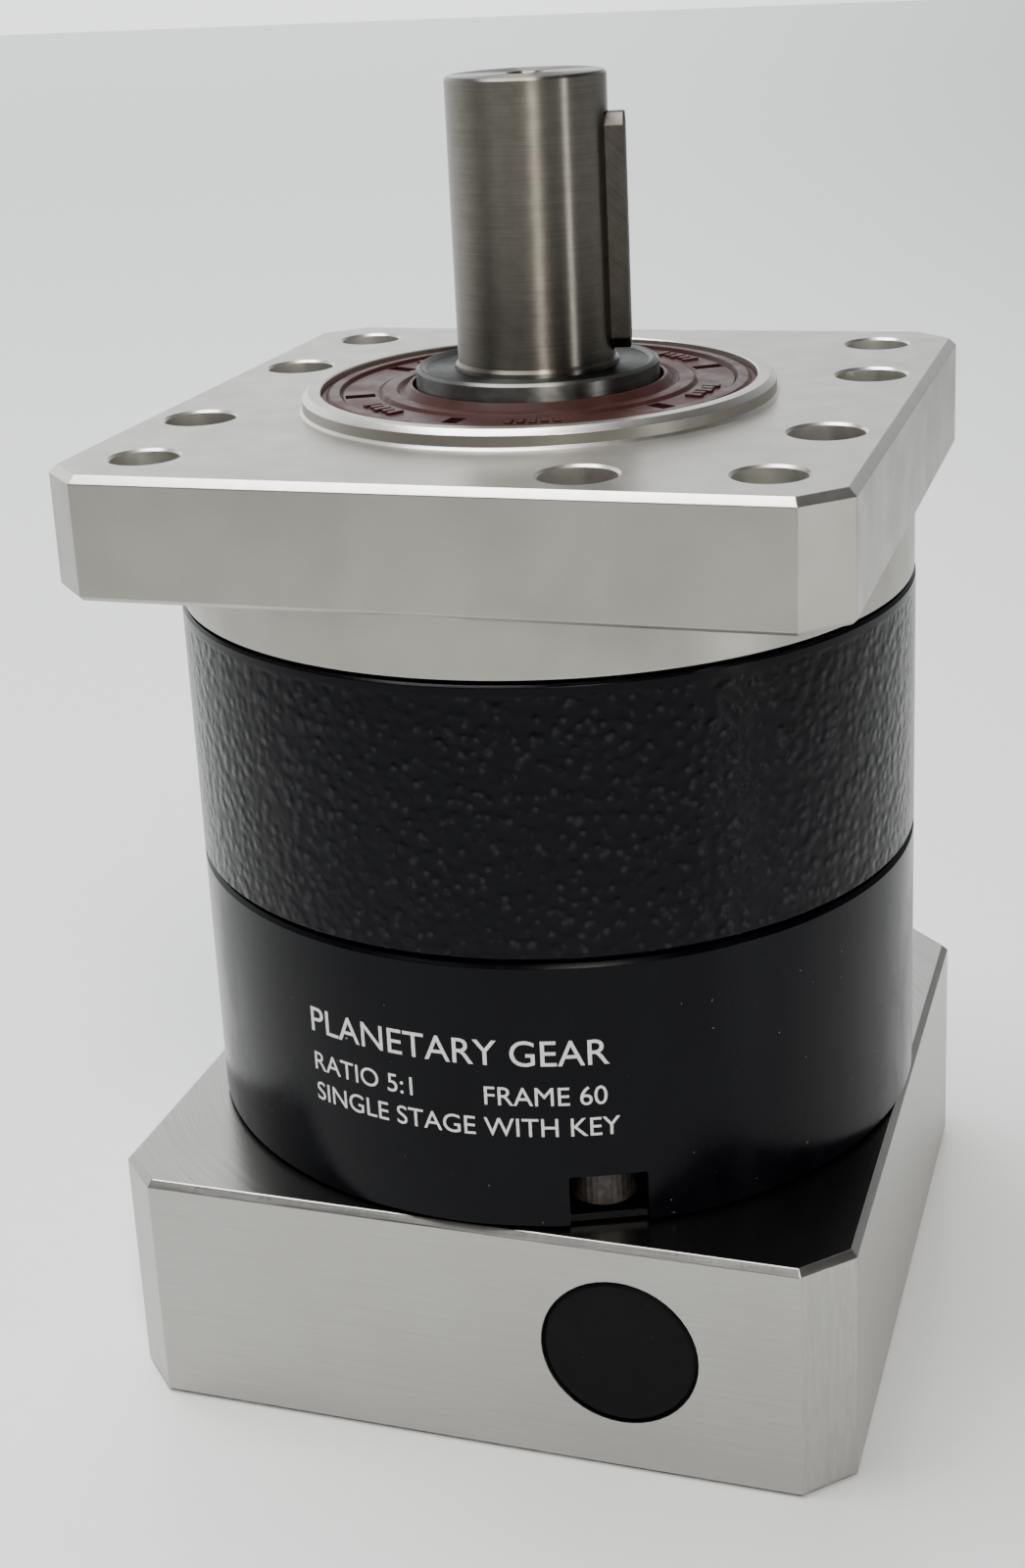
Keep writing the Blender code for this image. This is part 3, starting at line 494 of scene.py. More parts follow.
def machined_aluminium():
    """Satin milled aluminium with a fine grain and faint handling marks."""
    look = Look("machined_aluminium", 0.3, 0.8)
    cloud = look.noise(0.12, 3.0)
    grain = look.noise(7.0, 2.0, 0.6)
    colour = look.mixed(look.ramp(cloud, 0.35, 0.65), (0.320, 0.308, 0.278), (0.354, 0.342, 0.310))
    colour = look.mixed(look.ramp(grain, 0.3, 0.7, 0.0, 0.2), colour, (0.278, 0.269, 0.245))
    roughness = look.ramp(look.noise(0.35, 2.0, 0.5), 0.3, 0.7, 0.31, 0.38)
    return look.finish(colour, roughness, look.height(grain, 0.0012))


def brushed_aluminium():
    """Aluminium brushed level on its sides, faced in rings on its top, scratched on its corners."""
    look = Look("brushed_aluminium", 0.36, 1.0)
    normal = look.split(look.normal)
    facing_up = look.ramp(look.math("ABSOLUTE", normal[2]), 0.6, 0.9)
    corner = look.product(look.math("ABSOLUTE", normal[0]), look.math("ABSOLUTE", normal[1]))
    corner = look.ramp(corner, 0.25, 0.45)
    level = look.noise(3.2, 4.0, 0.65, stretch=(0.02, 0.02, 1.6))
    fine = look.noise(9.0, 2.0, 0.6, stretch=(0.03, 0.03, 1.6))
    rough = look.noise(2.6, 4.0, 0.7, stretch=(1.0, 1.0, 0.12))
    rings = look.lathe_lines(3.0, 11.0, 4.0)
    sides = look.math("ADD", look.product(level, 0.6), look.product(fine, 0.4))
    grain = look.blended(facing_up, look.blended(corner, sides, rough), rings)
    colour = look.mixed(look.ramp(grain, 0.3, 0.7), (0.335, 0.33, 0.315), (0.405, 0.40, 0.382))
    cloud = look.ramp(look.noise(0.09, 3.0), 0.35, 0.65, 0.0, 0.25)
    colour = look.mixed(cloud, colour, (0.33, 0.315, 0.30))
    roughness = look.blended(facing_up, look.ramp(grain, 0.3, 0.7, 0.28, 0.42), 0.22)
    depth = look.blended(facing_up, look.blended(corner, 0.35, 1.0), 0.12)
    return look.finish(colour, roughness, look.height(look.product(grain, depth), 0.05))


def hammered_black(smooth_above):
    """Black hammer-finish enamel with painted highlights on the tops of its small bumps, smooth on the rim
    above a height in mm.
    """
    look = Look("hammered_black", 0.2)
    textured = look.ramp(look.split(look.spot)[2], smooth_above - 0.3, smooth_above + 0.1, 1.0, 0.0)
    inputs = {"Vector": look.spot, "Scale": 1.15, "Smoothness": 0.8}
    cells = look.node("ShaderNodeTexVoronoi", inputs, feature="SMOOTH_F1").outputs["Distance"]
    domes = look.ramp(cells, 0.05, 0.75, 1.0, 0.0)
    swell = look.ramp(look.noise(0.8, 1.0, 0.4), 0.32, 0.68)
    relief = look.math("ADD", look.product(domes, 0.65), look.product(swell, 0.35))
    relief = look.product(look.math("SUBTRACT", relief, 0.6), textured)
    # Painted highlight: the tops of the bumps get a lighter colour that stands in for glints of light on
    # them.
    dome_glint_mask = look.ramp(cells, 0.10, 0.42, 1.0, 0.0)
    strewn_glint_spots = look.product(dome_glint_mask, look.ramp(look.noise(1.4, 1.0), 0.36, 0.6))
    painted_glints = look.product(strewn_glint_spots, textured)
    colour = look.mixed(painted_glints, (0.0008, 0.0008, 0.0024), (0.0145, 0.0145, 0.0185))
    roughness = look.ramp(look.noise(3.0, 2.0), 0.3, 0.7, 0.20, 0.26)
    look.shader.inputs["Specular IOR Level"].default_value = 0.10
    return look.finish(colour, roughness, look.height(relief, 0.078))


def satin_black():
    """Smooth black housing with a faint grain, wiped patches and a few specks of dust."""
    look = Look("satin_black", 0.2)
    grain = look.noise(14.0, 2.0, 0.6)
    dust = look.ramp(look.noise(1.9, 3.0, 0.55, distortion=0.3), 0.74, 0.77)
    wiped = look.ramp(look.noise(0.22, 3.0, 0.6, stretch=(1.0, 1.0, 0.5)), 0.35, 0.7)
    colour = look.mixed(wiped, (0.0007, 0.0007, 0.0022), (0.0016, 0.0018, 0.0034))
    colour = look.mixed(look.product(dust, 0.5), colour, (0.45, 0.45, 0.44))
    roughness = look.ramp(wiped, 0.0, 1.0, 0.21, 0.29)
    look.shader.inputs["Specular IOR Level"].default_value = 0.095
    return look.finish(colour, roughness, look.height(grain, 0.002))


def ground_steel(name, dark, light, rings, roughness, glare, anisotropy=0.0, painted_top_shade=0.0):
    """Ground or turned steel with fine rings about the gearbox axis, dull patches and pits.

    Glare is the share of its glancing reflections that is kept. Anisotropy draws its reflections
    out along the axis, and painted_top_shade darkens its level faces with painted shade.
    """
    look = Look(name, roughness[0], 1.0)
    lines = look.lathe_lines(0.9, rings)
    blotch = look.noise(0.8, 4.0, 0.6)
    pits = look.ramp(look.noise(3.4, 3.0, 0.7), 0.67, 0.74)
    tone = look.math("ADD", look.product(lines, 0.5), look.product(blotch, 0.5))
    colour = look.mixed(look.ramp(tone, 0.36, 0.64), dark, light)
    colour = look.mixed(look.product(pits, 0.6), colour, tuple(value * 0.35 for value in dark))
    rough = look.ramp(blotch, 0.3, 0.7, *roughness)
    look.shader.inputs["Specular Tint"].default_value = (glare, glare, glare, 1.0)
    if anisotropy:
        # Painted shade: the level faces are mixed towards black, a darkening that stands in for less light
        # on them.
        level = look.ramp(look.split(look.normal)[2], 0.9, 0.99)
        colour = look.mixed(look.product(level, painted_top_shade), colour, (0.0, 0.0, 0.0))
        look.shader.inputs["Anisotropic"].default_value = anisotropy
        look.shader.inputs["Anisotropic Rotation"].default_value = 0.25
        tangent = look.node("ShaderNodeTangent", direction_type="RADIAL", axis="Z")
        look.tree.links.new(tangent.outputs[0], look.shader.inputs["Tangent"])
    return look.finish(colour, rough, look.height(pits, -0.006, look.height(lines, 0.004)))


def plain_metal(name, colour, roughness, grain=0.004):
    """Clean machined metal with a light tone and roughness variation."""
    look = Look(name, roughness, 1.0)
    cloud = look.ramp(look.noise(0.6, 4.0, 0.6), 0.3, 0.7)
    darker = tuple(value * 0.9 for value in colour)
    tint = look.mixed(cloud, darker, colour)
    rough = look.ramp(look.noise(1.3, 3.0), 0.3, 0.7, roughness * 0.96, roughness * 1.06)
    return look.finish(tint, rough, look.height(look.noise(10.0, 2.0, 0.6), grain))


def blackened_steel(name):
    """Oiled black oxide on screws: dull, brownish and a little mottled."""
    look = Look(name, 0.55, 0.15)
    cloud = look.ramp(look.noise(1.6, 4.0, 0.65), 0.32, 0.68)
    colour = look.mixed(cloud, (0.018, 0.014, 0.012), (0.055, 0.044, 0.039))
    roughness = look.ramp(look.noise(2.5, 3.0), 0.3, 0.7, 0.45, 0.62)
    return look.finish(colour, roughness, look.height(look.noise(5.0, 3.0, 0.6), 0.012))


def moulded_rubber(name, dark, light, roughness, grain, specular):
    """Moulded rubber with a fine matt skin and a dusting of lint."""
    look = Look(name, roughness)
    cloud = look.ramp(look.noise(0.35, 4.0, 0.6), 0.3, 0.7)
    lint = look.ramp(look.noise(4.5, 3.0, 0.6), 0.72, 0.80, 0.0, 0.2)
    tint = look.mixed(lint, look.mixed(cloud, dark, light), (0.30, 0.30, 0.29))
    rough = look.ramp(cloud, 0.0, 1.0, roughness - 0.06, roughness + 0.08)
    look.shader.inputs["Specular IOR Level"].default_value = specular
    return look.finish(tint, rough, look.height(look.noise(7.0, 3.0, 0.6), grain))


def printed_white():
    """Thin pale marking ink."""
    look = Look("marking_ink", 0.5)
    tint = look.mixed(look.ramp(look.noise(5.0, 2.0), 0.3, 0.7), (0.62, 0.62, 0.61), (0.74, 0.74, 0.73))
    wear = look.ramp(look.noise(2.0, 2.0), 0.3, 0.7, 0.4, 0.6)
    return look.finish(tint, wear, look.height(look.noise(12.0, 2.0), 0.002))


# ---- outer pieces

def make_flange(material, bore_painted_light, chamfer_painted_highlight):
    """Square output flange with its pilot boss, neck and spigot."""
    height = FLANGE_TOP - PLATE_BOTTOM
    middle = (FLANGE_TOP + PLATE_BOTTOM) / 2
    plate = box("flange_body", (PLATE_SIZE, PLATE_SIZE, height), (0, 0, middle))
    bevelled(plate, 3.35, 1, rising(height / 2))
    bevelled(plate, 0.6, 1, above(FLANGE_TOP - 0.1))
    bevelled(plate, 0.35, 1, below(PLATE_BOTTOM + 0.1))
    bevelled(plate, 0.06, 2)
    boss_r, neck_r, spigot_r = 19.05, 29.87, 22.5
    neck_top, neck_foot = FLANGE_TOP - 4, RING_TOP + 0.3
    stem = [
        (0, BOSS_TOP), (18.55, BOSS_TOP, 0.1), (boss_r, BOSS_TOP - 0.45, 0.1),
        (boss_r, FLANGE_TOP + 0.22, 0.1), (19.3, FLANGE_TOP - 0.02), (19.3, neck_top), (neck_r, neck_top),
        (neck_r, neck_foot, 0.15), (spigot_r, neck_foot), (spigot_r, 61.5, 0.1), (20.9, 61.5),
        (20.9, 59.6), (spigot_r, 59.6, 0.1), (spigot_r, SPIGOT_BOTTOM, 0.3), (0, SPIGOT_BOTTOM),
    ]
    flange = join(plate, turned("flange_stem", stem))
    front_floor = foot_of("front_bearing_outer_ring") - 0.3
    rear_roof = top_of("rear_bearing_outer_ring") + 0.3
    bore = [
        (0, BOSS_TOP + 1), (17.65, BOSS_TOP + 1), (17.65, BOSS_TOP), (17.55, BOSS_TOP - 0.1),
        (17.55, SEAL_FOOT), (SEAT_R, SEAL_FOOT - 0.2), (SEAT_R, front_floor), (15.6, front_floor),
        (15.6, rear_roof), (SEAT_R, rear_roof), (SEAT_R, SPIGOT_BOTTOM + 0.3), (18.1, SPIGOT_BOTTOM),
        (18.1, SPIGOT_BOTTOM - 1), (0, SPIGOT_BOTTOM - 1),
    ]
    flange = cut(
        flange,
        turned("flange_bore", bore),
        hole("corner_holes", 2.65, PLATE_BOTTOM - 2, FLANGE_TOP, 0.2, BOLT_CORNERS),
        hole("screw_counterbores", 2.85, FLANGE_TOP - 6.0, FLANGE_TOP, 0.2, FLANGE_SCREWS),
        hole("screw_holes", SCREW_HOLE_R, RING_TOP - 1, FLANGE_TOP - 5.9, 0.0, FLANGE_SCREWS, TINY),
        hole("dowel_holes", SCREW_HOLE_R, RING_TOP - 1, 68.3, 0.0, DOWELS, TINY),
    )
    dressed(flange, material, "flange_aluminium", "housing", "output_flange")
    lined(flange, BOLT_CORNERS + FLANGE_SCREWS, bore_painted_light, chamfer_painted_highlight)


def involute(angle):
    return math.tan(angle) - angle


def half_tooth(teeth, radius, thinning):
    """Half of a tooth's angle, in radians, where it crosses a radius."""
    pitch_r = MODULE * teeth / 2
    base_r = pitch_r * math.cos(PRESSURE)
    roll = math.acos(min(1.0, base_r / radius))
    return math.pi / 2 / teeth + involute(PRESSURE) - involute(roll) - thinning / 2 / pitch_r


def gear_outline(teeth, low_r, high_r, thinning, first_angle, steps=6):
    """A gear's outline, with involute flanks from the root radius to the tip radius."""
    radii = [low_r + (high_r - low_r) * step / steps for step in range(steps + 1)]
    outline = []
    for index in range(teeth):
        centre = math.radians(first_angle) + math.tau * index / teeth
        forward = [(radius, centre - half_tooth(teeth, radius, thinning)) for radius in radii]
        backward = [(radius, centre + half_tooth(teeth, radius, thinning)) for radius in reversed(radii)]
        for radius, turn in forward + backward:
            outline.append((radius * math.cos(turn), radius * math.sin(turn)))
    return outline


def external_teeth(name, teeth, low, high, first_angle):
    """Involute teeth from low to high, with chamfered tips at both ends."""
    pitch_r = MODULE * teeth / 2
    tip_r = pitch_r + ADDENDUM
    outline = gear_outline(teeth, pitch_r - DEDENDUM, tip_r, BACKLASH, first_angle)
    envelope = [
        (0, high), (pitch_r - 0.1, high), (tip_r + 0.1, high - 0.6), (tip_r + 0.1, low + 0.6),
        (pitch_r - 0.1, low), (0, low),
    ]
    blank = extruded(name, [outline], low - 0.1, high + 0.1)
    return combined(blank, "INTERSECT", turned(name + "_envelope", envelope, HIDDEN))


def make_ring_gear(material):
    """Hammer-finished ring gear with its internal teeth, carrier bore and spigot."""
    pitch_r = MODULE * RING_TEETH / 2
    inside = pitch_r - ADDENDUM
    step = 53.0
    shell_foot = 42.1
    spigot_r = 25.6
    profile = [
        (29.75, RING_TOP, 0.08), (BODY_R, RING_TOP - 0.2, 0.08), (BODY_R, shell_foot + 0.25, 0.08),
        (BODY_R - 0.25, shell_foot, 0.08), (spigot_r, shell_foot), (spigot_r, 40.4, 0.1), (24.0, 40.4),
        (24.0, 38.5), (spigot_r, 38.5, 0.1), (spigot_r, RING_FOOT, 0.3), (inside, RING_FOOT, 0.1),
        (inside, step), (22.8, step), (22.8, RING_TOP, 0.2),
    ]
    spaces = gear_outline(RING_TEETH, inside - 0.4, pitch_r + DEDENDUM, -BACKLASH, 3.75)
    gear = cut(
        turned("ring_gear_body", profile),
        extruded("tooth_spaces", [spaces], RING_FOOT - 0.5, step + 0.2),
        hole("ring_screw_holes", SCREW_HOLE_R, 55.0, RING_TOP, 0.1, FLANGE_SCREWS, TINY),
        hole("ring_dowel_holes", SCREW_HOLE_R, 59.1, RING_TOP, 0.1, DOWELS, TINY),
    )
    dressed(gear, material, "hammered_black", "housing", "ring_gear")


def make_input_housing(material):
    """Lower housing with its bearing and seal seats and the four screw notches in its foot."""
    foot = ADAPTER_TOP + 0.3
    floor, roof = 20.5, 24.2
    width = 6.0
    sill_r = 29.0
    profile = [
        (BODY_R - 0.3, HOUSING_TOP, 0.06), (BODY_R, HOUSING_TOP - 0.3, 0.08), (BODY_R, foot + 0.15, 0.05),
        (BODY_R - 0.15, foot, 0.05), (17.2, foot), (17.2, HOUSING_FOOT, 0.2), (13.3, HOUSING_FOOT, 0.2),
        (13.3, 24.0), (11.0, 24.0), (11.0, 26.0), (SEAT_R, 26.0), (SEAT_R, CLIP_FOOT),
        (18.9, CLIP_FOOT), (18.9, CLIP_TOP), (SEAT_R, CLIP_TOP), (SEAT_R, 37.6),
        (25.9, 37.6), (25.9, HOUSING_TOP, 0.2),
    ]
    inner = NOTCH_CIRCLE - width / 2
    outer = 32.0  # beyond the shell, so that both cutters open outwards
    notches = []
    for angle in NOTCH_ANGLES:
        size = (outer - inner, width, roof - floor)
        notch = box("notch", size, (inner + size[0] / 2, 0, (roof + floor) / 2))
        bevelled(notch, 1.2, 5, rising(1.0))
        bevelled(notch, 0.25, 3)
        sill = box("sill", (outer - sill_r, width, 3.0), ((outer + sill_r) / 2, 0, floor - 0.5))
        notches += [transformed(cutter, spun(angle)) for cutter in (notch, sill)]
    housing = cut(
        turned("input_housing_body", profile),
        hole("screw_wells", SCREW_WELL_R, roof - 1, HOUSING_TOP, 0.1, ADAPTER_SCREWS),
        hole("adapter_screw_holes", SCREW_HOLE_R, foot - 1, floor + 0.5, 0.0, ADAPTER_SCREWS, TINY),
        *notches,
    )
    dressed(housing, material, "satin_black", "housing", "input_housing")


def make_adapter(material):
    """Square motor adapter with its cavity, motor recess, tapped holes and access hole."""
    plate = box("adapter_body", (PLATE_SIZE, PLATE_SIZE, ADAPTER_TOP), (0, 0, ADAPTER_TOP / 2))
    bevelled(plate, 3.6, 1, rising(ADAPTER_TOP / 2))
    bevelled(plate, 0.5, 1, above(ADAPTER_TOP - 0.1))
    bevelled(plate, 0.2, 1, below(0.1))
    bevelled(plate, 0.08, 2)
    cavity = [
        (0, ADAPTER_TOP + 1), (17.8, ADAPTER_TOP + 1), (17.8, ADAPTER_TOP), (17.5, ADAPTER_TOP - 0.3),
        (17.5, 2.4), (19.1, 2.4), (19.1, 0.3), (19.4, 0), (19.4, -1), (0, -1),
    ]
    motor_holes = hole("motor_holes", 2.5, -12.0, 0.0, 0.4, BOLT_CORNERS)
    plug_hole = [(0, 1.0), (6.2, 1.0), (6.2, -1.8), (4.95, -1.8), (4.95, -24.0), (0, -24.0)]
    plug = middle_of("access_plug")
    access = turned("access_hole", plug_hole, SMALL)
    transformed(access, moved((plug.x, -PLATE_SIZE / 2, plug.z)) @ TOWARDS_FRONT)
    adapter = cut(
        plate,
        turned("adapter_cavity", cavity, HIDDEN),
        transformed(motor_holes, UPSIDE_DOWN),
        hole("adapter_tapped_holes", SCREW_HOLE_R, 16.0, ADAPTER_TOP, 0.2, ADAPTER_SCREWS, TINY),
        access,
    )
    dressed(adapter, material, "adapter_aluminium", "housing", "motor_adapter")


def make_plug(material):
    """Rubber plug with gripping ribs on its stem."""
    face = -0.1
    cap_r = 6.13
    profile = [
        (0, face - 0.05), (5.0, face), (5.75, face, 0.3), (cap_r, face - 0.3, 0.2), (cap_r, face - 1.4),
        (4.8, face - 1.4), (4.8, -2.4), (4.9, -2.9), (4.8, -3.4), (4.9, -3.9), (4.8, -4.4), (4.9, -4.9),
        (4.5, -6.0), (0, -6.0),
    ]
    centre = middle_of("access_plug")
    plug = turned("plug_cap", profile, HIDDEN)
    transformed(plug, moved((centre.x, -FRAME / 2, centre.z)) @ TOWARDS_FRONT)
    dressed(plug, material, "black_rubber", "plug", "access_plug")


def make_output_seal(material):
    """Rubber output seal: outer bead, band with slots and raised dashes, inner ridge and lip."""
    high, low = SEAL_TOP, SEAL_FOOT
    band = high - 0.28
    profile = [
        (17.5, high - 0.35, 0.1), (17.5, low), (10.1, low), (10.1, high + 0.3, 0.08),
        (10.35, high + 0.3, 0.1), (10.85, high - 0.3, 0.1), (11.15, high - 0.45, 0.08),
        (11.4, high - 0.08, 0.1), (12.5, high - 0.08, 0.12), (12.75, band - 0.15, 0.05),
        (12.95, band, 0.05), (15.7, band, 0.05), (15.85, band - 0.15, 0.05), (16.0, high - 0.02, 0.1),
        (16.8, high - 0.05, 0.1), (17.1, high - 0.35, 0.1),
    ]
    seal = turned("seal_ring", profile)
    slot_angles = (32, 75, 118, 160, 205, 260, 328)
    slots = [box("slot", (2.4, 1.3, 0.9), (14.35, 0, band), angle) for angle in slot_angles]
    dashes = []
    for start in (45, 135, 222, 278, 344):
        for step in range(5):
            size = (1.4 - 0.4 * (step % 2), 0.55, 0.3)
            dash = box("dash", size, (14.3, 0, band + 0.05), start + 3.6 * step)
            dashes.append(bevelled(dash, 0.06, 1))
    seal = join(cut(seal, *slots), *dashes)
    dressed(seal, material, "seal_rubber", "housing", "output_seal")


def make_collar(material):
    """Collar round the shaft, with a raised rim and a web that reaches in to the shaft."""
    high = COLLAR_TOP - SKIN
    web = high - 0.22
    profile = [
        (9.77, SEAL_FOOT, 0.1), (9.77, web, 0.08), (9.5, high, 0.12), (9.25, high, 0.12), (8.95, web, 0.08),
        (6.6, web), (6.6, high - 0.8), (7.53, high - 0.8), (7.53, SEAL_FOOT),
    ]
    dressed(turned("collar_ring", profile), material, "collar_steel", "output", "shaft_collar")


def make_shaft(material):
    """Output shaft with its centre hole and keyway, and the carrier plate and pillars below."""
    high = SHAFT_TOP
    profile = [
        (0, high - 3.4), (1.05, high - 2.8), (1.05, high - 0.45), (1.5, high, 0.05), (6.10, high, 0.05),
        (6.32, high - 0.22, 0.06), (6.32, 81.0, 0.05), (6.55, 80.72, 0.06), (6.55, 79.7), (7.5, 79.7, 0.1),
        (7.5, 58.6), (9.6, 58.6), (9.6, 58.3), (19.6, 58.3, 0.1), (20.0, 57.9, 0.1), (20.0, 53.3, 0.3),
        (0, 53.3),
    ]
    shaft = turned("output_shaft_body", profile)
    pillars = hole("pillars", 3.8, 43.0, 53.5, 0.0, PILLARS)
    threads = hole("pillar_holes", SCREW_HOLE_R, 42.0, 51.2, 0.0, PILLARS, TINY)
    pins = hole("pin_holes", PIN_HOLE_R, 52.0, 56.3, 0.0, PINS)
    size = (5.0, 3.34, KEY_TOP - KEY_FOOT + 0.14)
    keyway = box("keyway", size, (4.4 + size[0] / 2, 0, (KEY_TOP + KEY_FOOT) / 2), KEY_ANGLE)
    shaft = cut(join(shaft, pillars), threads, pins, keyway)
    dressed(shaft, material, "shaft_steel", "output", "output_shaft")


def make_key(material):
    """Parallel key with the corners of both ends taken off."""
    size = (3.0, 3.2, KEY_TOP - KEY_FOOT)
    key = box("key_bar", size, (4.6 + size[0] / 2, 0, (KEY_TOP + KEY_FOOT) / 2))
    bevelled(key, 0.9, 1, lambda edge: abs(edge.verts[0].co.x - edge.verts[1].co.x) > 0.002)
    bevelled(key, 0.12, 3)
    dressed(transformed(key, spun(KEY_ANGLE)), material, "key_steel", "output", "shaft_key")


# ---- fasteners

def cap_screw(name, head_height, length, socket_depth):
    """A knurled hexagon socket cap screw that stands with its head on height zero."""
    high = head_height
    ridges = 36
    turn = 180 / ridges
    knurl = [around(2.65 - 0.05 * (index % 2), turn * index).xy for index in range(2 * ridges)]
    crown = [
        (0, high), (2.3, high, 0.1), (2.5, high - 0.2), (2.5, 0.1), (2.4, 0), (1.5, 0, 0.1),
        (1.5, 0.4 - length), (1.2, -length), (0, -length),
    ]
    socket = bmesh.new()
    socket_r = 1.45 * MM
    bmesh.ops.create_cone(
        socket, cap_ends=True, segments=6, radius1=socket_r, radius2=socket_r,
        depth=2 * socket_depth * MM, matrix=moved((0, 0, high)),
    )
    screw = turned(name, crown, SMALL)
    screw = join(screw, extruded("knurl", [knurl], 0.15, high - 0.25))
    return cut(screw, from_bmesh("socket", socket))


def make_screws(material):
    """Flange, adapter and clamp screws with tall heads, and carrier screws with low ones."""
    head, socket = 3.0, 1.6
    for nodes, count, length in (("flange_screw", 6, 15.7), ("adapter_screw", 4, 4.3)):
        blank = cap_screw(nodes + "_blank", head, length, socket)
        seat = top_of(nodes + "_1") - head
        numbered(nodes + "_detail", blank, nodes, count, seat, material, "screw_black")
    low_head = 1.7
    blank = cap_screw("carrier_screw_blank", low_head, 7.8, 1.0)
    transformed(blank, UPSIDE_DOWN)
    seat = foot_of("carrier_screw_1") + low_head
    numbered("carrier_screw_detail", blank, "carrier_screw", 3, seat, material, "screw_black")
    low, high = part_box("clamp_screw")
    middle = middle_of("clamp_screw")
    screw = cap_screw("clamp_screw_detail", head, (high.y - low.y) / MM - head, socket)
    transformed(screw, moved((middle.x, low.y / MM + head, middle.z)) @ TOWARDS_FRONT)
    dressed(screw, material, "screw_black", "input", "clamp_screw")


# ---- inner pieces

def collar_of(name, inner, outer, low, high, ease=0.15, segments=HIDDEN):
    """A plain ring with eased corners."""
    profile = [(inner, low, ease), (outer, low, ease), (outer, high, ease), (inner, high, ease)]
    return turned(name, profile, segments)


def rod(name, radius, length, chamfer, mark_r):
    """A ground pin that stands on height zero, with chamfered ends and centre marks."""
    rim = radius - chamfer
    profile = [
        (0, length - 0.5), (mark_r, length), (rim, length, 0.05), (radius, length - chamfer, 0.05),
        (radius, chamfer, 0.05), (rim, 0, 0.05), (mark_r, 0), (0, 0.5),
    ]
    return turned(name, profile, SMALL)


def make_bearing(name, bore_r, bodies, steel, brass):
    """A deep groove ball bearing: two grooved rings, seven balls and a windowed cage."""
    outer_body, inner_body, ball_body = bodies
    low, high = span_of(name + "_outer_ring")
    middle = (low + high) / 2
    race_r = BALL_R + 0.12

    def groove(land_r):
        """Groove points from the land's lower edge to its upper edge."""
        side = 1 if land_r > BALL_CIRCLE else -1
        limit = math.acos(abs(land_r - BALL_CIRCLE) / race_r)
        turns = [limit * (2 * step / 16 - 1) for step in range(17)]
        reach = side * race_r
        return [(BALL_CIRCLE + reach * math.cos(turn), middle + race_r * math.sin(turn)) for turn in turns]

    for side, radius, land_r, body in (
        ("outer", BEARING_R, OUTER_LAND_R, outer_body),
        ("inner", bore_r, INNER_LAND_R, inner_body),
    ):
        profile = [(radius, high, 0.5), (radius, low, 0.5), (land_r, low, 0.2)]
        profile += groove(land_r) + [(land_r, high, 0.2)]
        race = turned(f"{name}_{side}_race", profile)
        dressed(race, steel, "bearing_steel", body, f"{name}_{side}_ring")
    balls, windows = bmesh.new(), bmesh.new()
    for index in range(BALLS):
        angle = 360 * index / BALLS
        centre = moved(around(BALL_CIRCLE, angle, middle))
        bmesh.ops.create_uvsphere(
            balls, u_segments=32, v_segments=20, radius=BALL_R * MM, matrix=centre
        )
        outward = centre @ spun(angle) @ TOWARDS_RIGHT
        bmesh.ops.create_cone(
            windows, cap_ends=True, segments=32, radius1=race_r * MM, radius2=race_r * MM,
            depth=4 * MM, matrix=outward,
        )
    cage = collar_of(name + "_cage", 12.0, 13.4, middle - 3.4, middle + 3.4, 0.25)
    cage = cut(cage, from_bmesh("windows", windows))
    node = name + "_ball_cage"
    dressed(cage, brass, "cage_brass", ball_body, node)
    dressed(from_bmesh(name + "_balls", balls), steel, "bearing_steel", ball_body, node)


def make_planets(steel, bronze):
    """Planet gears and their bushes, each on its own axis."""
    low, high = span_of("planet_gear_1")
    half_pitch = 180 / PLANET_TEETH
    for number, angle in enumerate(PLANET_ANGLES, 1):
        centre = moved(around(PLANET_CIRCLE, angle))
        gear = external_teeth(f"planet_teeth_{number}", PLANET_TEETH, low, high, angle + half_pitch)
        bore = [
            (0, high + 1), (5.5, high + 1), (5.5, high), (5.2, high - 0.3), (5.2, low + 0.3),
            (5.5, low), (5.5, low - 1), (0, low - 1),
        ]
        gear = transformed(cut(gear, turned("bore", bore, SMALL)), centre)
        dressed(gear, steel, "gear_steel", f"planet_{number}", f"planet_gear_{number}")
        bush = [
            (4.9, low, 0.15), (4.9, high, 0.15), (PIN_HOLE_R, high, 0.25), (PIN_HOLE_R, high - 3.6),
            (3.5, high - 3.8), (3.5, low + 3.8), (PIN_HOLE_R, low + 3.6), (PIN_HOLE_R, low, 0.25),
        ]
        bush = transformed(turned(f"planet_bush_detail_{number}", bush, SMALL), centre)
        dressed(bush, bronze, "bush_bronze", f"planet_{number}", f"planet_bush_{number}")


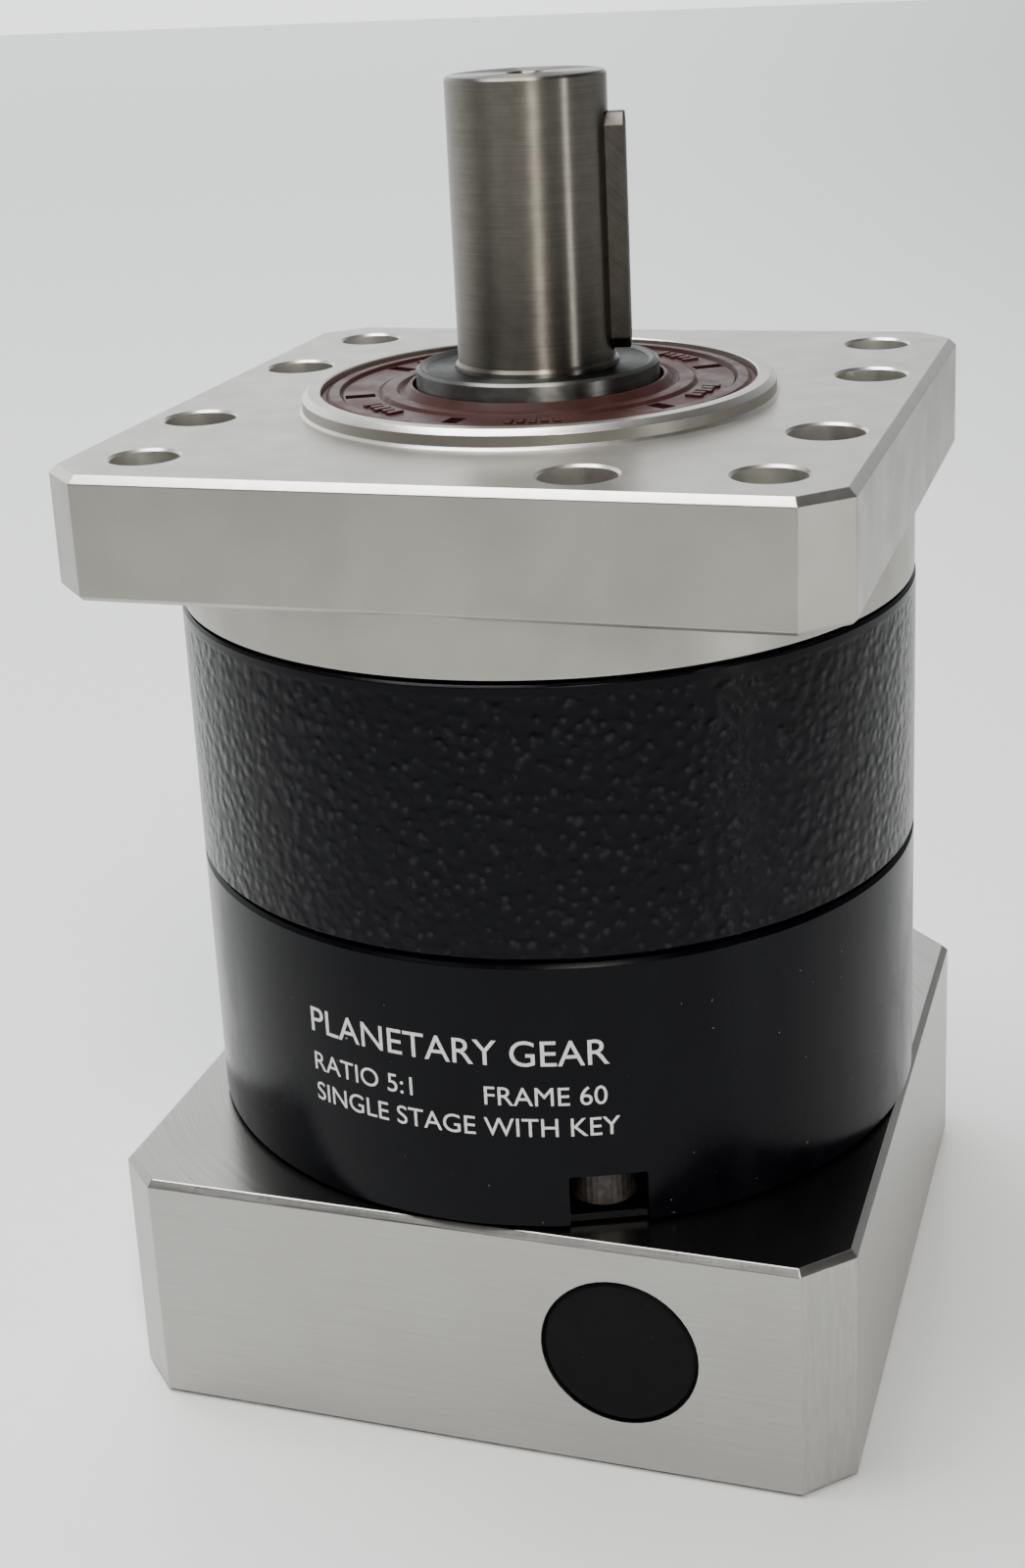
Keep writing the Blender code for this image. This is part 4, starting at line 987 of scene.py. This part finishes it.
def make_sun(material):
    """Input shaft: sun teeth on top, bearing seat in the middle, slotted clamp hub below."""
    foot, top = span_of("sun_gear")
    teeth_foot = 43.4
    seat_r = 8.2
    profile = [
        (0, top - 0.9), (0.7, top - 0.3), (3.9, top - 0.3, 0.1), (4.2, top - 0.5),
        (4.2, teeth_foot - 0.2, 0.2), (5.5, teeth_foot - 0.2, 0.2), (5.5, 37.2, 0.4), (seat_r, 37.2, 0.3),
        (seat_r, CLIP_TOP), (7.5, CLIP_TOP), (7.5, CLIP_FOOT), (seat_r, CLIP_FOOT), (seat_r, 26.0, 0.2),
        (9.4, 26.0, 0.2), (9.4, 25.2, 0.2), (seat_r, 25.2, 0.2), (seat_r, 17.2, 0.3), (7.4, 17.2, 0.2),
        (7.4, foot, 0.4), (4.0, foot, 0.5), (4.0, 27.0), (0, 28.5),
    ]
    shaft = turned("sun_shaft", profile, HIDDEN)
    shaft = join(shaft, external_teeth("sun_teeth", SUN_TEETH, teeth_foot, top, 0.0))
    slit = box("hub_slit", (10.0, 1.2, 14.0), (5.0, 0, foot + 6.0))
    relief = turned("slit_end", [(0, 12), (1.1, 12), (1.1, 0), (0, 0)], TINY)
    transformed(relief, moved((0, 0, foot + 12.6)) @ TOWARDS_RIGHT)
    dressed(cut(shaft, slit, relief), material, "gear_steel", "input", "sun_gear")


def make_clamp(material):
    """Clamp collar, split towards the screw that closes it."""
    low, high = span_of("clamp_collar")
    collar = collar_of("clamp_ring", 7.7, 15.57, low, high, 0.4)
    spot = middle_of("clamp_screw")
    seat = 5.0
    profile = [
        (0, 16), (3.1, 16), (SCREW_WELL_R, seat), (SCREW_HOLE_R, seat), (SCREW_HOLE_R, -14), (0, -14),
    ]
    screw_hole = turned("clamp_hole", profile, SMALL)
    transformed(screw_hole, moved((spot.x, 0, spot.z)) @ TOWARDS_FRONT)
    slit = box("clamp_slit", (12.0, 1.6, high - low + 2), (12.5, 0, (high + low) / 2))
    dressed(cut(collar, slit, screw_hole), material, "spring_steel", "input", "clamp_collar")


def make_circlip(name, node, body, radii, lugs, material):
    """A spring ring open towards +X, with a drilled lug at each end."""
    low, high = span_of(node)
    lug_circle, lug_r = lugs
    inner, outer = radii
    half_gap = 2.0
    spread = math.degrees(math.asin((half_gap + lug_r) / lug_circle))
    ends = spots_on(lug_circle, (spread, -spread))
    clip = cut(
        collar_of(name, inner, outer, low, high, 0.08),
        box("opening", (2 * half_gap + 4, 2 * half_gap, 4.0), (outer - 1, 0, high)),
    )
    clip = join(clip, hole("lugs", lug_r, low, high - 1, 0.0, ends, TINY))
    clip = cut(clip, hole("lug_holes", lug_r * 0.45, low - 1, high, 0.0, ends, TINY))
    dressed(clip, material, "spring_steel", body, node)


def make_o_ring(name, node, material):
    low, high = span_of(node)
    radius = (high - low) / 2
    circle, middle = reach_of(node) - radius, (low + high) / 2
    turns = [math.tau * index / TINY for index in range(TINY)]
    profile = [(circle + radius * math.cos(turn), middle + radius * math.sin(turn)) for turn in turns]
    dressed(turned(name, profile, HIDDEN), material, "black_rubber", "housing", node)


def make_input_seal(material):
    """Input shaft seal with a garter groove and a lip."""
    low, high = span_of("input_seal")
    profile = [
        (13.0, low, 0.3), (13.0, high, 0.2), (9.6, high, 0.1), (8.5, high - 0.9, 0.1),
        (9.0, high - 2.2, 0.2), (9.9, high - 2.6, 0.2), (10.4, high - 1.6, 0.2), (11.2, high - 1.6, 0.2),
        (11.4, low + 1.2, 0.2), (8.9, low + 0.9, 0.1), (8.6, low + 0.3, 0.1), (9.2, low, 0.1),
    ]
    seal = turned("input_seal_ring", profile, HIDDEN)
    dressed(seal, material, "black_rubber", "housing", "input_seal")


def make_rear_plate(material):
    """Rear carrier plate with its pin holes and counterbored screw holes."""
    low, high = span_of("carrier_rear_plate")
    plate = collar_of("rear_plate", 7.0, 20.0, low, high, 0.4)
    flip = moved((0, 0, low)) @ UPSIDE_DOWN
    mirrored = [Vector((spot.x, -spot.y, 0)) for spot in PILLARS]
    plate = cut(
        plate,
        hole("pin_bores", PIN_HOLE_R, low - 1, high, 0.25, PINS),
        hole("screw_bores", SCREW_HOLE_R, low - 1, high, 0.1, PILLARS, TINY),
        transformed(hole("screw_sinks", SCREW_WELL_R, -2.2, 0.0, 0.2, mirrored), flip),
    )
    dressed(plate, material, "gear_steel", "output", "carrier_rear_plate")


def wrapped_text(name, words, size, angle, height, radius, material):
    """A line of generic marking laid on the round housing, starting at an angle."""
    curve = bpy.data.curves.new(name, "FONT")
    curve.body = words
    curve.size = size * MM
    curve.extrude = 0.008 * MM
    curve.resolution_u = 6
    text = baked(place(name, curve), name)
    bm = bmesh.new()
    bm.from_mesh(text.data)
    low = min(vert.co.x for vert in bm.verts)
    width = max(vert.co.x for vert in bm.verts) - low
    for step in range(1, 60):
        where = low + width * step / 60
        everything = bm.verts[:] + bm.edges[:] + bm.faces[:]
        bmesh.ops.bisect_plane(bm, geom=everything, plane_co=(where, 0, 0), plane_no=(1, 0, 0))
    for vert in bm.verts:
        turn = math.radians(angle) + vert.co.x / (radius * MM)
        out = radius * MM + vert.co.z
        vert.co = Vector((out * math.cos(turn), out * math.sin(turn), height * MM + vert.co.y))
    bm.to_mesh(text.data)
    bm.free()
    dressed(text, material, "satin_black", "housing")


# ---- the scene

def make_studio():
    """A pale, slightly glossy table under the gearbox."""
    look = Look("pale_table", 0.3)
    cloud = look.ramp(look.noise(0.4, 2.0), 0.3, 0.7)
    tint = look.mixed(cloud, (0.81, 0.825, 0.825), (0.82, 0.835, 0.835))
    sheen = look.ramp(look.noise(0.8, 2.0), 0.3, 0.7, 0.15, 0.19)
    table = look.finish(tint, sheen, look.height(look.noise(1.2, 2.0), 0.004))
    bm = bmesh.new()
    bmesh.ops.create_grid(bm, x_segments=1, y_segments=1, size=2.5)
    floor = from_bmesh("table_top", bm)
    floor.location.z = -0.0002
    floor.data.materials.append(table)


def area_light(name, spot, size, power, colour=(1.0, 1.0, 1.0)):
    """A rectangular light that faces the gearbox."""
    data = bpy.data.lights.new(name, "AREA")
    data.shape = "RECTANGLE"
    data.size, data.size_y = size
    data.energy = power
    data.color = colour
    lamp = place(name, data)
    lamp.location = spot
    aim = Vector((0, 0, 0.06)) - Vector(spot)
    lamp.rotation_euler = aim.to_track_quat("-Z", "Y").to_euler()


def make_world():
    """A pale room, brightest behind the gearbox and to its left."""
    world = bpy.data.worlds.new("studio")
    bpy.context.scene.world = world
    world.use_nodes = True
    tree = world.node_tree
    background = tree.nodes["Background"]
    room = Nodes(tree)
    where = room.node("ShaderNodeTexCoord").outputs["Generated"]
    towards_left = (0.0, 0.0, math.radians(-15.0))
    turn = room.node("ShaderNodeMapping", {"Vector": where, "Rotation": towards_left})
    x, y, z = room.split(turn.outputs[0])
    depth = room.ramp(y, -0.4, 0.85, 0.10, 2.2)
    across = room.ramp(x, -0.1, 0.6, 1.0, 0.18)
    ceiling = room.ramp(z, 0.25, 0.8, 1.0, 0.5)
    strength = room.product(room.product(depth, across), ceiling)
    tree.links.new(strength, background.inputs["Strength"])
    background.inputs["Color"].default_value = (0.96, 0.98, 1.0, 1.0)


def make_lights():
    """A broad light overhead, and two narrow ones that draw streaks on the round walls."""
    area_light("overhead", (-0.18, -0.02, 0.80), (0.50, 0.48), 9.4)
    area_light("ceiling_lamp", (0.235, -0.453, 0.60), (0.075, 0.30), 4.0, (1.0, 0.96, 0.88))
    window = around(600, -17, 125) * MM
    area_light("window", window, (0.036, 0.24), 0.5, (1.0, 0.99, 0.97))


def make_camera():
    """The photo's camera, solved from the flange, the shaft and the adapter."""
    data = bpy.data.cameras.new("camera")
    data.sensor_width = 36.0
    data.lens = 51.42
    data.shift_x = 0.0148
    data.shift_y = -0.0970
    data.clip_start = 0.01
    camera = place("camera", data)
    camera.location = (0.05316, -0.16967, 0.11462)
    camera.rotation_euler = tuple(math.radians(angle) for angle in (72.297, 2.872, 18.090))
    bpy.context.scene.camera = camera


aluminium = machined_aluminium()
# Painted light: a brighter copy of the aluminium for the walls of the flange's holes.
bored = plain_metal("bore_aluminium_painted_light", (0.78, 0.77, 0.73), 0.32, 0.0002)
# Painted highlight: a brighter copy of the aluminium for the flange's upper chamfers.
chamfered = plain_metal("chamfer_aluminium_painted_highlight", (0.62, 0.605, 0.56), 0.30, 0.0002)
brushed = brushed_aluminium()
hammered = hammered_black(smooth_above=62.6)
black = satin_black()
# The shaft and collar steels darken their level faces with painted shade.
shaft_steel = ground_steel(
    "shaft_steel", (0.152, 0.141, 0.121), (0.188, 0.176, 0.154), 8.0, (0.33, 0.39), 0.8,
    anisotropy=0.95, painted_top_shade=0.35,
)
key_steel = ground_steel(
    "key_steel", (0.085, 0.078, 0.066), (0.125, 0.115, 0.10), 5.0, (0.36, 0.5), 0.4
)
collar_steel = ground_steel(
    "collar_steel", (0.150, 0.153, 0.145), (0.215, 0.218, 0.205), 3.0, (0.36, 0.44), 0.5,
    anisotropy=0.9, painted_top_shade=0.72,
)
screw_steel = blackened_steel("screw_black")
gear_steel = plain_metal("gear_steel", (0.46, 0.46, 0.46), 0.28)
bearing_steel = plain_metal("bearing_steel", (0.60, 0.60, 0.61), 0.16, 0.001)
cage_brass = plain_metal("cage_brass", (0.70, 0.50, 0.22), 0.30)
bush_bronze = plain_metal("bush_bronze", (0.56, 0.35, 0.17), 0.34)
spring_steel = plain_metal("spring_steel", (0.12, 0.12, 0.13), 0.36)
seal_rubber = moulded_rubber(
    "seal_rubber", (0.028, 0.010, 0.009), (0.043, 0.016, 0.014), 0.42, 0.006, 0.10
)
black_rubber = moulded_rubber(
    "black_rubber", (0.0015, 0.0015, 0.0024), (0.0030, 0.0030, 0.0042), 0.55, 0.010, 0.10
)
ink = printed_white()

make_flange(aluminium, bored, chamfered)
make_ring_gear(hammered)
make_input_housing(black)
make_adapter(brushed)
make_plug(black_rubber)
make_output_seal(seal_rubber)
make_collar(collar_steel)
make_shaft(shaft_steel)
make_key(key_steel)
make_screws(screw_steel)

for name, nodes, count, radius, chamfer, mark_r in (
    ("dowel", "dowel_pin", 2, 1.5, 0.3, 0.4),
    ("pin", "planet_pin", 3, 3.0, 0.4, 0.6),
):
    low, high = span_of(nodes + "_1")
    blank = rod(name + "_blank", radius, high - low, chamfer, mark_r)
    numbered(name, blank, nodes, count, low, bearing_steel, "bearing_steel")
washer = collar_of("washer_blank", PIN_HOLE_R, 5.6, 0, 0.6, 0.12, SMALL)
numbered("washer", washer, "thrust_washer", 6, None, bush_bronze, "bush_bronze")
low, high = span_of("bearing_spacer")
spacer = collar_of("spacer_ring", 7.8, 9.8, low, high)
dressed(spacer, gear_steel, "gear_steel", "output", "bearing_spacer")

make_rear_plate(gear_steel)
make_planets(gear_steel, bush_bronze)
make_sun(gear_steel)
make_clamp(spring_steel)
for end, bore_r, shaft in (("front", 7.8, "output"), ("rear", 7.8, "output"), ("input", 8.5, "input")):
    make_bearing(end + "_bearing", bore_r, ("housing", shaft, end + "_balls"), bearing_steel, cage_brass)
make_circlip(
    "housing_clip", "input_bearing_circlip", "housing", (16.1, 18.55), (15.7, 1.3), spring_steel
)
make_circlip("shaft_clip", "input_shaft_circlip", "input", (7.8, 9.6), (10.2, 1.2), spring_steel)
make_o_ring("flange_sealing_ring", "flange_o_ring", black_rubber)
make_o_ring("housing_sealing_ring", "housing_o_ring", black_rubber)
make_input_seal(black_rubber)

MARKING_R = BODY_R + 0.008
for name, words, size, angle, height in (
    ("marking_title", "PLANETARY GEAR", 3.0, -113.9, 33.6),
    ("marking_ratio", "RATIO 5:1", 2.2, -113.7, 30.3),
    ("marking_frame", "FRAME 60", 2.2, -85.2, 30.3),
    ("marking_stages", "SINGLE STAGE WITH KEY", 2.2, -113.5, 27.7),
):
    wrapped_text(name, words, size, angle, height, MARKING_R, ink)

make_studio()
make_world()
make_lights()
make_camera()
